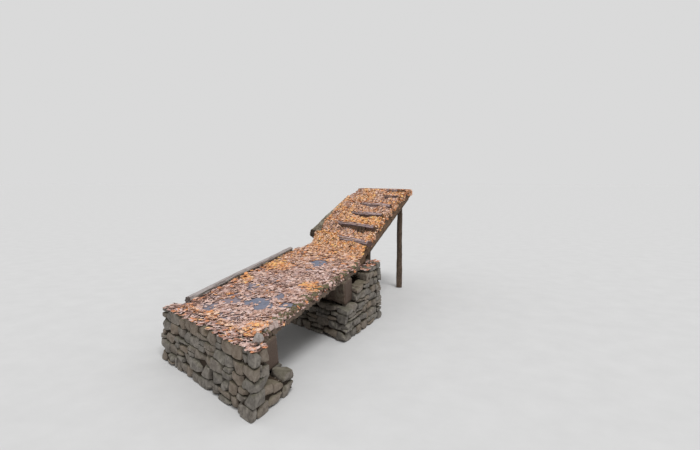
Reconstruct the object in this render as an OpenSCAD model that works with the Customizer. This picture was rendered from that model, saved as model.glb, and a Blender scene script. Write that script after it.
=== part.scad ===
// Rustic log footbridge with an earth topping, one kerb log and log steps
// that climb from its far end. Millimetres, +Z up, +Y along the bridge from
// the near end to the far end. The deck's ends are skewed to its edges and
// the deck rises towards the far end, so each group of pieces is laid out in
// a turned and tilted frame of its own: U along the logs, V square to them.

/* [Deck] */
// Width of the deck, square across its two edges
deck_w = 1700; // [1600:10:1800]
// Length of the deck along its edges
deck_l = 2950; // [2850:10:3050]
// Angle of the deck's ends off square, degrees
skew = 28.5; // [25:0.5:31]
// Rise of the deck towards the far end, degrees
deck_tilt = 7.4; // [6.6:0.1:8]
// Height of the deck's lowest corner above the foot of the bridge
deck_z = 650; // [600:10:800]
// Thickness of the trodden earth on the poles
topping_t = 38; // [32:1:50]

/* [Logs] */
// Diameter of the cross poles
pole_d = 74; // [68:1:80]
// Square distance between neighbouring cross poles
pole_pitch = 86; // [84:1:94]
// Diameter of a stringer log at its thick end
stringer_d = 176; // [160:1:190]
// Diameter of the kerb log at its near end
kerb_d = 104; // [90:1:115]
// Height of the notched balk under the stringer ends
balk_h = 340; // [320:1:380]
// Thickness of the notched balk
balk_t = 260; // [220:1:300]

/* [Steps] */
// Angle of the step logs off square, degrees
step_skew = 38; // [35:0.5:40]
// Distance between step logs along the stair
step_go = 460; // [430:5:490]
// Diameter of a step log
step_d = 104; // [95:1:115]

/* [Hidden] */

// Small gap between pieces that bed on each other, and between neighbouring beds of earth
clear = 0.5;
joint = 1;
// Longer than anything here, for cutting planes
far = 6000;

// Depths below the deck's top, square to the deck
pole_flat = 9;
pole_bottom = topping_t + pole_d - pole_flat;
stringer_flat = 16;
stringer_r = stringer_d / 2;
stringer_taper = 14;
stringer_axis = pole_bottom + stringer_r - stringer_flat;
balk_bottom = pole_bottom + balk_h;
landing_t = 130;

// Deck layout
deck_u = deck_w / cos(skew);
stringer_at = [0.2, 0.4, 0.6, 0.8];
edge_margin = 34;
ragged_in = 24;
ragged_by = 20;
left_in = 16;
pole_ragged = 15;
pole_vary = 1.5;
kerb_in = 58;
kerb_u = kerb_in / cos(skew) - deck_u;
kerb_r = kerb_d / 2;
kerb_seat = 14;
kerb_from = 80;
kerb_to = 32;
kerb_thin = 0.72;
kerb_bow = 9;
peg_at = [1150, 1810, 2260];
peg_d = 38;
peg_off = 12;
peg_h = 0.55 * kerb_d;

// Stones at the near right corner, one behind the deck's end and one on its edge
corner_stone = [100, 90, 100];
corner_stone_at = [140, -48];
edge_stone = [95, 70, 42];
edge_stone_at = [-132, 165];

// Abutments, square across the gap from the deck's lowest corner
near_back = -250;
near_front = 400;
near_balk_v = 70;
far_face = 1980;
far_back = 3200;
toe = 60;
bed_gap = 2;
deck_off = 8;
balk_gap = 10;
shoulder_z = deck_z - 12;
footing_narrow = deck_w / 2 + 135;
footing_wide = deck_w / 2 + 260;
balk_out = 40;
landing_v = deck_l * cos(skew) + 14;

// Stair: tops of the step logs above the deck's lowest corner, their widths across the path,
// and how far their right ends stand out from the stair's right side
step_y = 4125;
step_top = [615, 825, 1000, 1147, 1297, 1405];
step_out = [65, -5, -25, -15, -25, -205];
step_w = [860, 1110, 970, 900, 430, 440];
stair_left = 160 - deck_w / 2;
stair_right = deck_w / 2 - 100;
step_r = step_d / 2;
step_taper = 8;
step_bury = 20;
tread_drop = 14;
mould_run = 160;
mould_over = 40;
mould_show = [45, 115, 45, 45, 45, 45];
bed_t = 250;
bed_slope = (step_top[5] - step_top[0]) / (5 * step_go);
go_v = step_go * cos(step_skew);
rake_v = bed_slope / cos(step_skew);
bed_tilt = atan(rake_v);
bearer_d = 150;
bearer_in = 190;
bearer_flat = 9;
bearer_taper = 4;
bearer_behind_log = 40;
bearer_behind_footing = 20;
bearer_short = 60;
post_d = 120;
post_taper = 8;
post_front_at = 0.1;
post_back_at = 0.86;
stake_d = 42;
stake_taper = 3;
stake_u = [470, 565, 660];
stake_low = 30;
edging_d = 172;
edging_taper = 12;
edging_bow = 10;
edging_rise = 18.5;
edging_l = 2000;
edging_gap = 16;
edging_seat = 3;
edging_x = stair_left - edging_d / 2 - edging_gap;
edging_y = 4720;
edging_z = deck_z + 550;
edging_post_d = 108;
edging_post_low = 20;
edging_front_at = 0.1;
edging_back_at = 0.84;

// Middle of the whole outline, which is moved over the origin
near_tip = (near_back - toe - (footing_wide - deck_w / 2) * sin(skew)) / cos(skew);
stair_tip = step_line(stair_left) + riser_v(6) / cos(step_skew);
mid_y = (near_tip + stair_tip) / 2;

function deck_dir(l) = [-l * sin(skew), l * cos(skew) / cos(deck_tilt)];
function deck_pt(u, l) = [u, 0] + deck_dir(l);
function under(v, h) = deck_z + v * tan(deck_tilt) - h / cos(deck_tilt);
function bed(v) = deck_z + step_top[0] - bed_t + v * rake_v;
function step_line(x) = step_y - x * tan(step_skew);
function plan_v(x, y) = (x - deck_w / 2) * sin(skew) + y * cos(skew);
function step_right(k) = stair_right + step_out[k];
function step_left(k) = step_right(k) - step_w[k];
function riser_v(k) = k * go_v - step_r + step_bury;
function turned(x, y, a) = [x * cos(a) - y * sin(a), x * sin(a) + y * cos(a)];

// Frames

module placed() translate([0, -mid_y, 0]) children();

module skewed() translate([deck_w / 2, 0, 0]) rotate([0, 0, -skew]) children();

module on_deck() skewed() translate([0, 0, deck_z]) rotate([deck_tilt, 0, 0]) children();

// Y runs along a deck edge, from u on the near end's line
module along_deck(u) {
    on_deck() translate([u, 0, 0])
        rotate([0, 0, atan(tan(skew) * cos(deck_tilt))]) children();
}

module stair() translate([0, step_y, 0]) rotate([0, 0, -step_skew]) children();

// Y runs up the underside of the stair's bed at x
module along_bed(x, y) {
    p = turned(x, y - step_y, step_skew);
    stair() translate([0, 0, bed(0)]) rotate([bed_tilt, 0, 0])
        translate([p[0], p[1] / cos(bed_tilt), 0])
            rotate([0, 0, atan(tan(step_skew) * cos(bed_tilt))]) children();
}

// Keeps what lies between two planes of constant x, for sides along the path
module trimmed(x0, x1) {
    intersection() {
        children();
        translate([x0, -far, -far]) cube([x1 - x0, 3 * far, 3 * far]);
    }
}

// Extrudes a (V, Z) outline along U
module along_u(u0, u1) {
    translate([u0, 0, 0]) rotate([90, 0, 90])
        linear_extrude(height = u1 - u0) children();
}

// Logs

module pole_y(r0, r1, l) rotate([-90, 0, 0]) cylinder(h = l, r1 = r0, r2 = r1, $fn = 48);

// One ring of a grown log at the share t of its length
function grown_ring(t, l, r0, r1, bow, n) =
    let (
        r = r0 + (r1 - r0) * t,
        cx = bow * sin(180 * t) + 0.45 * bow * sin(540 * t + 40),
        cz = 0.3 * bow * sin(360 * t)
    )
    [for (j = [0 : n - 1])
        let (a = 360 * j / n, s = r * (1 + 0.035 * sin(2 * a + 200 * t) + 0.02 * sin(3 * a - 330 * t)))
        [cx + s * cos(a), l * t, cz + s * sin(a)]];

// A log as it grew: tapered, a little oval and crooked, along +Y
module grown_log(l, r0, r1, bow, n = 20, m = 10) {
    rings = [for (i = [0 : m]) each grown_ring(i / m, l, r0, r1, bow, n)];
    sides = [for (i = [0 : m - 1], j = [0 : n - 1])
        let (a = i * n + j, b = i * n + (j + 1) % n)
        each [[a, a + n, b + n], [a, b + n, b]]];
    near_end = [[for (j = [0 : n - 1]) j]];
    far_end = [[for (j = [0 : n - 1]) m * n + n - 1 - j]];
    polyhedron(points = rings, faces = concat(sides, near_end, far_end));
}

// Stones: a block with its corners broken off

module stone(size, turn) {
    w = size[0];
    d = size[1];
    h = size[2];
    rotate([0, 0, turn]) intersection() {
        translate([-w / 2, -d / 2, 0]) cube([w, d, h]);
        translate([0, 0, h / 2]) rotate([0, 0, 38]) cube([0.93 * w, 1.05 * d, 4 * h], center = true);
        translate([0, 0, 0.42 * h]) rotate([0, 34, 0]) cube([w, 3 * d, 1.25 * h], center = true);
        translate([0, 0, 0.40 * h]) rotate([-31, 0, 0]) cube([3 * w, d, 1.3 * h], center = true);
    }
}

// Abutments

module stringer_solid(i, grow = 0) {
    fat_first = i % 2 == 0;
    r0 = stringer_r - (fat_first ? 0 : stringer_taper);
    r1 = stringer_r - (fat_first ? stringer_taper : 0);
    l = norm(deck_dir(deck_l - 2 * edge_margin));
    difference() {
        along_deck(-deck_u * (1 - stringer_at[i])) translate([0, edge_margin, -stringer_axis])
            pole_y(r0 + grow, r1 + grow, l);
        on_deck() translate([-far, -far, -pole_bottom + grow]) cube([2 * far, 2 * far, far]);
    }
}

module balk(v) {
    trimmed(-deck_w / 2 - balk_out, deck_w / 2 + balk_out) difference() {
        on_deck() translate([-far, v, -balk_bottom]) cube([2 * far, balk_t, balk_h]);
        for (i = [0 : 3]) stringer_solid(i, clear);
    }
}

module near_footing() {
    color("dimgray") placed() trimmed(-footing_narrow, footing_wide) skewed()
        along_u(-far, far) polygon([
            [near_back - toe, 0], [near_front + toe, 0],
            [near_front, under(near_front, balk_bottom)],
            [-deck_off, under(-deck_off, balk_bottom)], [-deck_off, shoulder_z],
            [near_back, shoulder_z]]);
}

module near_balk() color("saddlebrown") placed() balk(near_balk_v);

module far_footing() {
    v2 = far_face + balk_t + balk_gap;
    h2 = stringer_axis + stringer_r + bed_gap;
    color("dimgray") placed() trimmed(-footing_wide, footing_narrow) skewed()
        along_u(-far, far) polygon([
            [far_face - 2 * toe, 0], [far_back + toe, 0], [far_back, under(far_back, landing_t)],
            [landing_v, under(landing_v, landing_t)], [landing_v, under(landing_v, h2)],
            [v2, under(v2, h2)], [v2, under(v2, balk_bottom)],
            [far_face - toe, under(far_face - toe, balk_bottom)]]);
}

module far_balk() color("saddlebrown") placed() balk(far_face / cos(deck_tilt));

module corner_stones() {
    color("lightgray") placed() {
        skewed() translate([each corner_stone_at, shoulder_z]) stone(corner_stone, 12);
        on_deck() translate([each edge_stone_at, 0]) stone(edge_stone, 35);
    }
}

// Deck

module stringer_1() color("peru") placed() stringer_solid(0);

module stringer_2() color("peru") placed() stringer_solid(1);

module stringer_3() color("peru") placed() stringer_solid(2);

module stringer_4() color("peru") placed() stringer_solid(3);

module cross_poles() {
    run = deck_dir(deck_l)[1];
    count = floor((run - pole_d) / pole_pitch) + 1;
    start = (run - (count - 1) * pole_pitch) / 2;
    shift = tan(skew) * cos(deck_tilt);
    color("burlywood") placed() on_deck() difference() {
        for (j = [0 : count - 1]) {
            v = start + j * pole_pitch;
            right = -v * shift + pole_ragged * sin(137 * j);
            left = -v * shift - deck_u + pole_ragged * sin(101 * j);
            r = pole_d / 2 - pole_vary * (1 + sin(77 * j));
            translate([left, v, -topping_t - pole_d / 2]) rotate([0, 90, 0])
                cylinder(h = right - left, r = r, $fn = 32);
        }
        translate([-far, -far, -pole_bottom - far]) cube([2 * far, 2 * far, far]);
    }
}

module deck_topping() {
    n = 26;
    left_u = left_in - deck_u;
    right_edge = [for (i = [0 : n])
        deck_pt(ragged_by * (sin(97 * i) + 0.65 * sin(211 * i + 30)) - ragged_in, deck_l * i / n)];
    left_edge = [deck_pt(left_u, deck_l), deck_pt(left_u, 0)];
    color("tan") placed() on_deck() translate([0, 0, -topping_t]) linear_extrude(height = topping_t)
        polygon(concat(right_edge, left_edge));
}

module kerb_log() {
    color("silver") placed() difference() {
        along_deck(kerb_u) translate([0, kerb_from, kerb_r - kerb_seat])
            grown_log(norm(deck_dir(deck_l)) - kerb_from - kerb_to, kerb_r, kerb_thin * kerb_r, kerb_bow);
        on_deck() translate([-far, -far, -far]) cube([2 * far, 2 * far, far]);
    }
}

module peg(y) {
    along_deck(kerb_u) translate([kerb_r + peg_d / 2 + peg_off, y, 0])
        cylinder(h = peg_h, r1 = peg_d / 2, r2 = peg_d / 2 - stake_taper, $fn = 24);
}

module kerb_pegs() color("sienna") placed() for (y = peg_at) peg(y);

// Landing and stair

module landing_bed() {
    color("tan") placed() {
        trimmed(stair_left, stair_right) intersection() {
            skewed() along_u(-far, far) polygon([
                [landing_v, under(landing_v, landing_t - clear)], [far, under(far, landing_t - clear)],
                [far, under(far, 0)], [landing_v, under(landing_v, 0)]]);
            stair() translate([-far, -far, -far]) cube([2 * far, far + riser_v(0) - joint, 3 * far]);
        }
        mould(0, under(plan_v(stair_right, step_line(stair_right)) - mould_run, 0) - step_bury);
    }
}

module step_solid(k, grow = 0) {
    u = step_left(k) / cos(step_skew) - k * go_v * tan(step_skew);
    l = step_w[k] / cos(step_skew);
    stair() translate([u, k * go_v, deck_z + step_top[k] - step_r]) rotate([0, 90, 0])
        cylinder(h = l + grow, r1 = step_r - step_taper + grow, r2 = step_r + grow, $fn = 48);
}

// Leaf mould against riser k, from the level z0 up to z1
module wedge(k, z0, z1) {
    v1 = riser_v(k) - joint;
    trimmed(stair_left, stair_right) stair() along_u(-far, far)
        polygon([[v1 - mould_run, z0], [v1, z0], [v1, z1]]);
}

// It hides the left end of each riser, falls off at 45 degrees and lies lower under the log
module mould(k, z0) {
    top = deck_z + step_top[k];
    drift_h = top - tread_drop - z0;
    difference() {
        union() {
            intersection() {
                wedge(k, z0, z0 + drift_h);
                translate([step_left(k) + mould_over + drift_h, 0, z0]) rotate([0, 45, 0])
                    translate([-far, -far, -2 * far]) cube([2 * far, 3 * far, 2 * far]);
            }
            wedge(k, z0, top - mould_show[k]);
        }
        step_solid(k, clear);
        if (k == 1) stakes(clear);
    }
}

// Stakes that hold the second step log
module stakes(grow = 0) {
    v = go_v - step_r - stake_d / 2 - bed_gap;
    r = stake_d / 2 + grow;
    stair() for (u = stake_u)
        translate([u - go_v * tan(step_skew), v, deck_z + step_top[0] - tread_drop])
            cylinder(h = step_top[1] - step_top[0] - stake_low, r1 = r - stake_taper, r2 = r, $fn = 24);
}

module tread_solid(k) {
    v0 = riser_v(k);
    v1 = riser_v(k + 1) - joint;
    top = deck_z + step_top[k] - tread_drop;
    difference() {
        trimmed(stair_left, stair_right) stair() along_u(-far, far)
            polygon([[v0, bed(v0)], [v1, bed(v1)], [v1, top], [v0, top]]);
        step_solid(k, clear);
    }
    if (k < 5) mould(k + 1, top);
}

module step_log_1() color("dimgray") placed() step_solid(0);

module step_log_2() color("dimgray") placed() step_solid(1);

module step_log_3() color("dimgray") placed() step_solid(2);

module step_log_4() color("dimgray") placed() step_solid(3);

module step_log_5() color("dimgray") placed() step_solid(4);

module step_log_6() color("dimgray") placed() step_solid(5);

module tread_1() color("chocolate") placed() tread_solid(0);

module tread_2() color("chocolate") placed() tread_solid(1);

module tread_3() color("chocolate") placed() tread_solid(2);

module tread_4() color("chocolate") placed() tread_solid(3);

module tread_5() color("chocolate") placed() tread_solid(4);

module tread_6() color("chocolate") placed() tread_solid(5);

module step_stakes() color("sienna") placed() stakes();

// A bearer starts behind the step line and behind the far footing
function behind_footing(x) = (far_back + bearer_behind_footing + (deck_w / 2 - x) * sin(skew)) / cos(skew);
function bearer_start(x) = max(step_line(x) + bearer_behind_log, behind_footing(x));
function bearer_run(x) = step_line(x) + 6 * step_go - bearer_short - bearer_start(x);

module bearer_solid(x) {
    y = bearer_start(x);
    d = turned(0, bearer_run(x), step_skew);
    along_bed(x, y) difference() {
        translate([0, 0, -bearer_d / 2 - clear])
            pole_y(bearer_d / 2, bearer_d / 2 - bearer_taper, norm([d[0], d[1] / cos(bed_tilt)]));
        translate([-far, -far, -far - bearer_d + bearer_flat]) cube([2 * far, 2 * far, far]);
    }
}

module post_solid(x, share) {
    difference() {
        translate([x, bearer_start(x) + share * bearer_run(x), 0])
            cylinder(h = deck_z + step_top[5], r1 = post_d / 2, r2 = post_d / 2 - post_taper, $fn = 32);
        along_bed(x, bearer_start(x)) translate([-far, -far, -bearer_d + bearer_flat])
            cube([2 * far, 2 * far, far]);
    }
}

module bearer_left() color("peru") placed() bearer_solid(stair_left + bearer_in);

module bearer_right() color("peru") placed() bearer_solid(stair_right - bearer_in);

module post_front_left() color("peru") placed() post_solid(stair_left + bearer_in, post_front_at);

module post_front_right() color("peru") placed() post_solid(stair_right - bearer_in, post_front_at);

module post_back_left() color("peru") placed() post_solid(stair_left + bearer_in, post_back_at);

module post_back_right() color("peru") placed() post_solid(stair_right - bearer_in, post_back_at);

// Mossy log beside the stair, on two posts

module along_edging() translate([edging_x, edging_y, edging_z]) rotate([edging_rise, 0, 0]) children();

module edging_log() {
    color("darkolivegreen") placed() along_edging()
        grown_log(edging_l, edging_d / 2, edging_d / 2 - edging_taper, edging_bow);
}

module edging_post_solid(share) {
    y = share * edging_l;
    difference() {
        translate([edging_x, edging_y + y, 0])
            cylinder(h = edging_z + y * tan(edging_rise) - edging_post_low, r = edging_post_d / 2, $fn = 32);
        along_edging() pole_y(edging_d / 2 + edging_seat, edging_d / 2 - edging_taper / 2, edging_l);
    }
}

module edging_post_front() color("peru") placed() edging_post_solid(edging_front_at);

module edging_post_back() color("peru") placed() edging_post_solid(edging_back_at);

near_footing();
near_balk();
far_footing();
far_balk();
stringer_1();
stringer_2();
stringer_3();
stringer_4();
cross_poles();
deck_topping();
kerb_log();
kerb_pegs();
corner_stones();
landing_bed();
edging_log();
edging_post_front();
edging_post_back();
step_log_1();
step_log_2();
step_log_3();
step_log_4();
step_log_5();
step_log_6();
tread_1();
tread_2();
tread_3();
tread_4();
tread_5();
tread_6();
step_stakes();
bearer_left();
bearer_right();
post_front_left();
post_front_right();
post_back_left();
post_back_right();
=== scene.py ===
"""Dresses the log footbridge: weathered logs, rubble stones, trodden earth, moss and fallen leaves."""

import random
from collections import namedtuple
from functools import cache
from itertools import product
from math import atan, cos, hypot, inf, pi, radians, sin, sqrt, tan

import bmesh
import bpy
import numpy as np
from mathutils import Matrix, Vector


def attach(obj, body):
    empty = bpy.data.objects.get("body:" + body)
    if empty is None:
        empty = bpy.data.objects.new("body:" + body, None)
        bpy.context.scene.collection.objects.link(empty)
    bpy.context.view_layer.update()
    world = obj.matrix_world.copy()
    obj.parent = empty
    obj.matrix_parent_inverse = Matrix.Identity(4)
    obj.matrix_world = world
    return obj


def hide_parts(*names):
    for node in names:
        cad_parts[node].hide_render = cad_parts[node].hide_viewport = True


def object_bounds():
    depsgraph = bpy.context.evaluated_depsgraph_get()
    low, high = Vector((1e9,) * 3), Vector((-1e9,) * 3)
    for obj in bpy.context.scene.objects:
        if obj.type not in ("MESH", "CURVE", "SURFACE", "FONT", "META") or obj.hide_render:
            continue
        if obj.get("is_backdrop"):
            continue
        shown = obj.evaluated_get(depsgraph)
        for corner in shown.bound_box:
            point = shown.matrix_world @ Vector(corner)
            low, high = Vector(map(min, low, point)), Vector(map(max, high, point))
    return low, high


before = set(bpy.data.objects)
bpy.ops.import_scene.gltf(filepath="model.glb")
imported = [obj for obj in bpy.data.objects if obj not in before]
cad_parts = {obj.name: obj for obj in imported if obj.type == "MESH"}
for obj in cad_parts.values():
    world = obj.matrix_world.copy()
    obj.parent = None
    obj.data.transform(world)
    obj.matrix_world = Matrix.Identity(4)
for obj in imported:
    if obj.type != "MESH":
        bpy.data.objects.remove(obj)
cad_box = [list(corner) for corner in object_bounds()]


# Numbers
def lerp(a, b, t):
    return a + (b - a) * t


def smooth_step(x, lo, hi):
    """From 0 at lo to 1 at hi, level at both ends."""
    t = np.clip((x - lo) / (hi - lo), 0, 1)
    return t * t * (3 - 2 * t)


def unit(vectors):
    return vectors / np.linalg.norm(vectors, axis=1)[:, None]


def nearness(distance, reach):
    """1 at no distance or less, fading over about that reach."""
    return np.exp(-np.clip(distance, 0, 9) / reach)


def turned(x, y, angle):
    """x, y turned about the origin."""
    c, s = np.cos(angle), np.sin(angle)
    return x * c - y * s, x * s + y * c


def xyz(x, y, z=0.0):
    """Points from their coordinates, numbers or arrays."""
    return np.stack(np.broadcast_arrays(x, y, z), -1)


def lattice(i, j, k, seed):
    """A fixed random number from -1 to 1 for each whole point."""
    n = i * 374761393 + j * 668265263 + k * 2147483647 + seed * 974634777
    n = (n ^ (n >> 13)) * 1274126177
    n = n ^ (n >> 16)
    return (n & 0xFFFFFF) / float(0xFFFFFF) * 2 - 1


def noise(p, scale, seed=0):
    """Smooth value noise from -1 to 1 at points p, with features of about 1 / scale metres."""
    q = np.atleast_2d(p) * scale + 1000.0
    b = np.floor(q).astype(np.int64)
    f = q - b
    f = f * f * (3 - 2 * f)
    out = np.zeros(len(q))
    for far in product((0, 1), repeat=3):
        wx, wy, wz = (f[:, i] if far[i] else 1 - f[:, i] for i in range(3))
        out += wx * wy * wz * lattice(*(b[:, i] + far[i] for i in range(3)), seed)
    return out


def fbm(p, scale, seed=0, octaves=3):
    """Octaves of that noise, each of half the strength of the one before."""
    return sum(0.5**i * noise(p, scale * 2**i, seed + 17 * i) for i in range(octaves))


# Layout in metres, the same values as in part.scad
DECK_W, DECK_L, DECK_Z = 1.70, 2.95, 0.65
SKEW, TILT = radians(28.5), radians(7.4)
TOPPING_T, POLE_D, POLE_PITCH, POLE_FLAT = 0.038, 0.074, 0.086, 0.009
BALK_H, BALK_T, NEAR_BALK_V = 0.34, 0.26, 0.07
STRINGER_R, STRINGER_FLAT, STRINGER_TAPER = 0.088, 0.016, 0.014
STRINGER_AT = (0.2, 0.4, 0.6, 0.8)
EDGE_MARGIN, EDGE_NOTCHES = 0.034, 26
KERB_IN, KERB_R, KERB_SEAT, KERB_FROM, KERB_TO = 0.058, 0.052, 0.014, 0.080, 0.032
PEG_AT, PEG_R = (1.15, 1.81, 2.26), 0.019
NEAR_BACK, NEAR_SHOULDER, NEAR_FRONT, TOE = -0.25, -0.008, 0.40, 0.06
FAR_FACE, FAR_BACK, LANDING_T = 1.98, 3.20, 0.13
FOOTING_NARROW, FOOTING_WIDE = DECK_W / 2 + 0.135, DECK_W / 2 + 0.26
STEP_SKEW, STEP_GO, STEP_R, STEP_BURY = radians(38), 0.46, 0.052, 0.020
STEP_Y, STEPS = 4.125, range(6)
STEP_TOP = (0.615, 0.825, 1.0, 1.147, 1.297, 1.405)
STEP_OUT = (0.065, -0.005, -0.025, -0.015, -0.025, -0.205)
STEP_W = (0.86, 1.11, 0.97, 0.90, 0.43, 0.44)
STAIR_LEFT, STAIR_RIGHT = 0.16 - DECK_W / 2, DECK_W / 2 - 0.10
TREAD_DROP, BED_T = 0.014, 0.25
MOULD_RUN, MOULD_OVER, MOULD_SHOW = 0.16, 0.04, (0.045, 0.115, 0.045, 0.045, 0.045, 0.045)
BEARER_R, BEARER_FLAT, BEARER_IN, POST_R = 0.075, 0.009, 0.19, 0.06
STAKE_R, STAKE_AT = 0.021, (0.47, 0.565, 0.66)
EDGING_R, EDGING_RISE, EDGING_L = 0.086, radians(18.5), 2.0
GAP = 0.0005

# Worked out from the layout
HALF_W, DECK_U = DECK_W / 2, DECK_W / cos(SKEW)
DECK_RUN = DECK_L * cos(SKEW) / cos(TILT)
EDGE_LEN = hypot(DECK_L * sin(SKEW), DECK_RUN)
EDGE_TURN = atan(tan(SKEW) * cos(TILT))
POLE_BOTTOM = TOPPING_T + POLE_D - POLE_FLAT
BALK_BOTTOM = POLE_BOTTOM + BALK_H
STRINGER_AXIS = POLE_BOTTOM + STRINGER_R - STRINGER_FLAT
SHOULDER_Z = DECK_Z - 0.012
STEP_Z = [DECK_Z + top for top in STEP_TOP]
TREAD_Z = [z - TREAD_DROP for z in STEP_Z]
STEP_RIGHT = [STAIR_RIGHT + out for out in STEP_OUT]
STEP_LEFT = [right - width for right, width in zip(STEP_RIGHT, STEP_W)]
GO_V = STEP_GO * cos(STEP_SKEW)
RAKE_V = (STEP_TOP[5] - STEP_TOP[0]) / (5 * STEP_GO) / cos(STEP_SKEW)
BED_TILT = atan(RAKE_V)
EDGING_X, EDGING_Y, EDGING_Z = STAIR_LEFT - EDGING_R - 0.016, 4.72, DECK_Z + 0.55
LANDING_V = DECK_L * cos(SKEW) + 0.014


def step_line(x):
    """Plan y of the first step log's axis."""
    return STEP_Y - x * tan(STEP_SKEW)


NEAR_TIP = (NEAR_BACK - TOE - (FOOTING_WIDE - HALF_W) * sin(SKEW)) / cos(SKEW)
STAIR_TIP = step_line(STAIR_LEFT) + (6 * GO_V - STEP_R + STEP_BURY) / cos(STEP_SKEW)
ORIGIN = np.array([0.0, (NEAR_TIP + STAIR_TIP) / 2, 0.0])


def place(p):
    """Layout points to the row frame."""
    return np.asarray(p, float) - ORIGIN


def plan_xy(u, v):
    """(U, V) of the skewed frame of the deck's ends to plan x, y."""
    x = HALF_W + u * cos(SKEW) + v * sin(SKEW)
    return x, v * cos(SKEW) - u * sin(SKEW)


def plan_v(x, y):
    """V of a plan point: how far it lies beyond the deck's near end, square to that end."""
    return (x - HALF_W) * sin(SKEW) + y * cos(SKEW)


def plan_y(x, v):
    """Plan y at which x reaches that V."""
    return (v - (x - HALF_W) * sin(SKEW)) / cos(SKEW)


def deck(u, v, h):
    """Points of the tilted deck frame, numbers or arrays, in the row frame."""
    flat = v * cos(TILT) - h * sin(TILT)
    return place(xyz(*plan_xy(u, flat), DECK_Z + v * sin(TILT) + h * cos(TILT)))


def along_deck(u, l, a=0.0, h=0.0):
    """The point l up a line parallel to the deck's edges from u, a to its right and h above it."""
    c, s = cos(EDGE_TURN), sin(EDGE_TURN)
    return deck(u + a * c - l * s, a * s + l * c, h)


def under(v, h):
    """Height of the plane h below the deck's top, at V."""
    return DECK_Z + v * tan(TILT) - h / cos(TILT)


def stair_v(x, y):
    """How far a plan point lies up the stair from the first step log, square to the logs."""
    return x * sin(STEP_SKEW) + (y - STEP_Y) * cos(STEP_SKEW)


def stair_y(x, v):
    """Plan y at which x lies so far up the stair."""
    return STEP_Y + (v - x * sin(STEP_SKEW)) / cos(STEP_SKEW)


def riser_v(k):
    """Where the earth behind step log k begins."""
    return k * GO_V - STEP_R + STEP_BURY


def bed(v):
    """Height of the sloping plane that the stair's earth lies on."""
    return STEP_Z[0] - BED_T + v * RAKE_V


UP, ALONG_Y = np.array([0.0, 0.0, 1.0]), (0, 1, 0)
DECK_N = deck(0, 0, 1) - deck(0, 0, 0)
BED_N = np.array([-sin(BED_TILT) * sin(STEP_SKEW), -sin(BED_TILT) * cos(STEP_SKEW), cos(BED_TILT)])


# Shaders. Colours are written as a screen shows them, 0 to 255
class Linear(tuple):
    """A colour as amounts of light, 0 to 1."""


def linear(colour):
    if isinstance(colour, Linear):
        return colour
    return Linear((c / 255 / 12.92) if c <= 10 else ((c / 255 + 0.055) / 1.055) ** 2.4 for c in colour)


def shade(colour, k):
    return Linear(c * k for c in linear(colour))


def grey(v):
    return Linear((v, v, v))


class Signal:
    """An output of a node of a material. Signals add, subtract and multiply as numbers do."""

    def __init__(self, material, socket=None):
        self.material, self.socket = material, socket

    def node(self, kind, inputs, output=0, **settings):
        """An output of a new node. Each input is a signal, a colour or a number."""
        tree = self.material.node_tree
        n = tree.nodes.new("ShaderNode" + kind)
        for key, value in settings.items():
            setattr(n, key, value)
        for key, value in inputs.items():
            socket = n.inputs[key]
            if isinstance(value, Signal):
                tree.links.new(value.socket, socket)
            else:
                socket.default_value = (*linear(value), 1) if socket.type == "RGBA" else value
        return Signal(self.material, n.outputs[output] if n.outputs else None)

    def maths(self, operation, other=0.0, clamp=False):
        return self.node("Math", {0: self, 1: other}, operation=operation, use_clamp=clamp)

    def __add__(self, other):
        return self.maths("ADD", other)

    def __sub__(self, other):
        return self.maths("SUBTRACT", other)

    def __mul__(self, other):
        return self.maths("MULTIPLY", other)

    def attribute(self, name, output="Fac"):
        return self.node("Attribute", {}, output, attribute_name=name)

    def channel(self, name, kind="XYZ"):
        return self.node("Separate" + kind, {0: self}, name)

    def scaled(self, *scale):
        return self.node("Mapping", {"Scale": scale, "Vector": self}, "Vector")

    def noise(self, scale, detail=5.0, rough=0.6, distort=0.0):
        values = {"Vector": self, "Scale": scale, "Detail": detail, "Roughness": rough, "Distortion": distort}
        return self.node("TexNoise", values, "Fac")

    def cells(self, scale, output="Distance", feature="F1"):
        return self.node("TexVoronoi", {"Vector": self, "Scale": scale}, output, feature=feature)

    def ramp(self, *stops):
        colour = self.node("ValToRGB", {"Fac": self}, "Color")
        elements = colour.socket.node.color_ramp.elements
        while len(elements) < len(stops):
            elements.new(0.5)
        for element, (position, stop) in zip(elements, stops):
            element.position = position
            element.color = (*linear(stop), 1)
        return colour

    def fade(self, start, end, top=1.0):
        """From 0 at start to top at end, whichever of the two is higher."""
        return self.ramp(*sorted([(start, grey(0)), (end, grey(top))]))

    def mix(self, a, b):
        """a where this is 0, b where it is 1."""
        return self.node("Mix", {0: self, 6: a, 7: b}, 2, data_type="RGBA")

    def lay(self, colour, share):
        """This, with the colour over it."""
        return self.node("Mix", {0: share, 6: self, 7: colour}, 2, data_type="RGBA")

    def upward(self, low, high, amount):
        """1 where the surface looks up, broken by this noise."""
        z = self.node("NewGeometry", {}, "Normal").channel("Z") + (self - 0.5) * amount
        return self.node("MapRange", {"From Min": low, "From Max": high, "Value": z}, "Result")

    def finish(self, rough, specular, height=None, strength=0.0, distance=0.0):
        """The material with this as its colour, and with a bump if a height is given."""
        values = {"Base Color": self, "Roughness": rough, "Specular IOR Level": specular}
        if height:
            bump = {"Strength": strength, "Distance": distance, "Height": height}
            values["Normal"] = self.node("Bump", bump)
        self.node("OutputMaterial", {0: self.node("BsdfPrincipled", values)})
        return self.material


def new_material(name, kind="TexCoord", output="Object", **settings):
    """The first signal of a new material, which is its object coordinates unless another is asked for."""
    m = bpy.data.materials.new(name)
    m.use_nodes = True
    m.node_tree.nodes.clear()
    return Signal(m).node(kind, {}, output, **settings)


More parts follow.
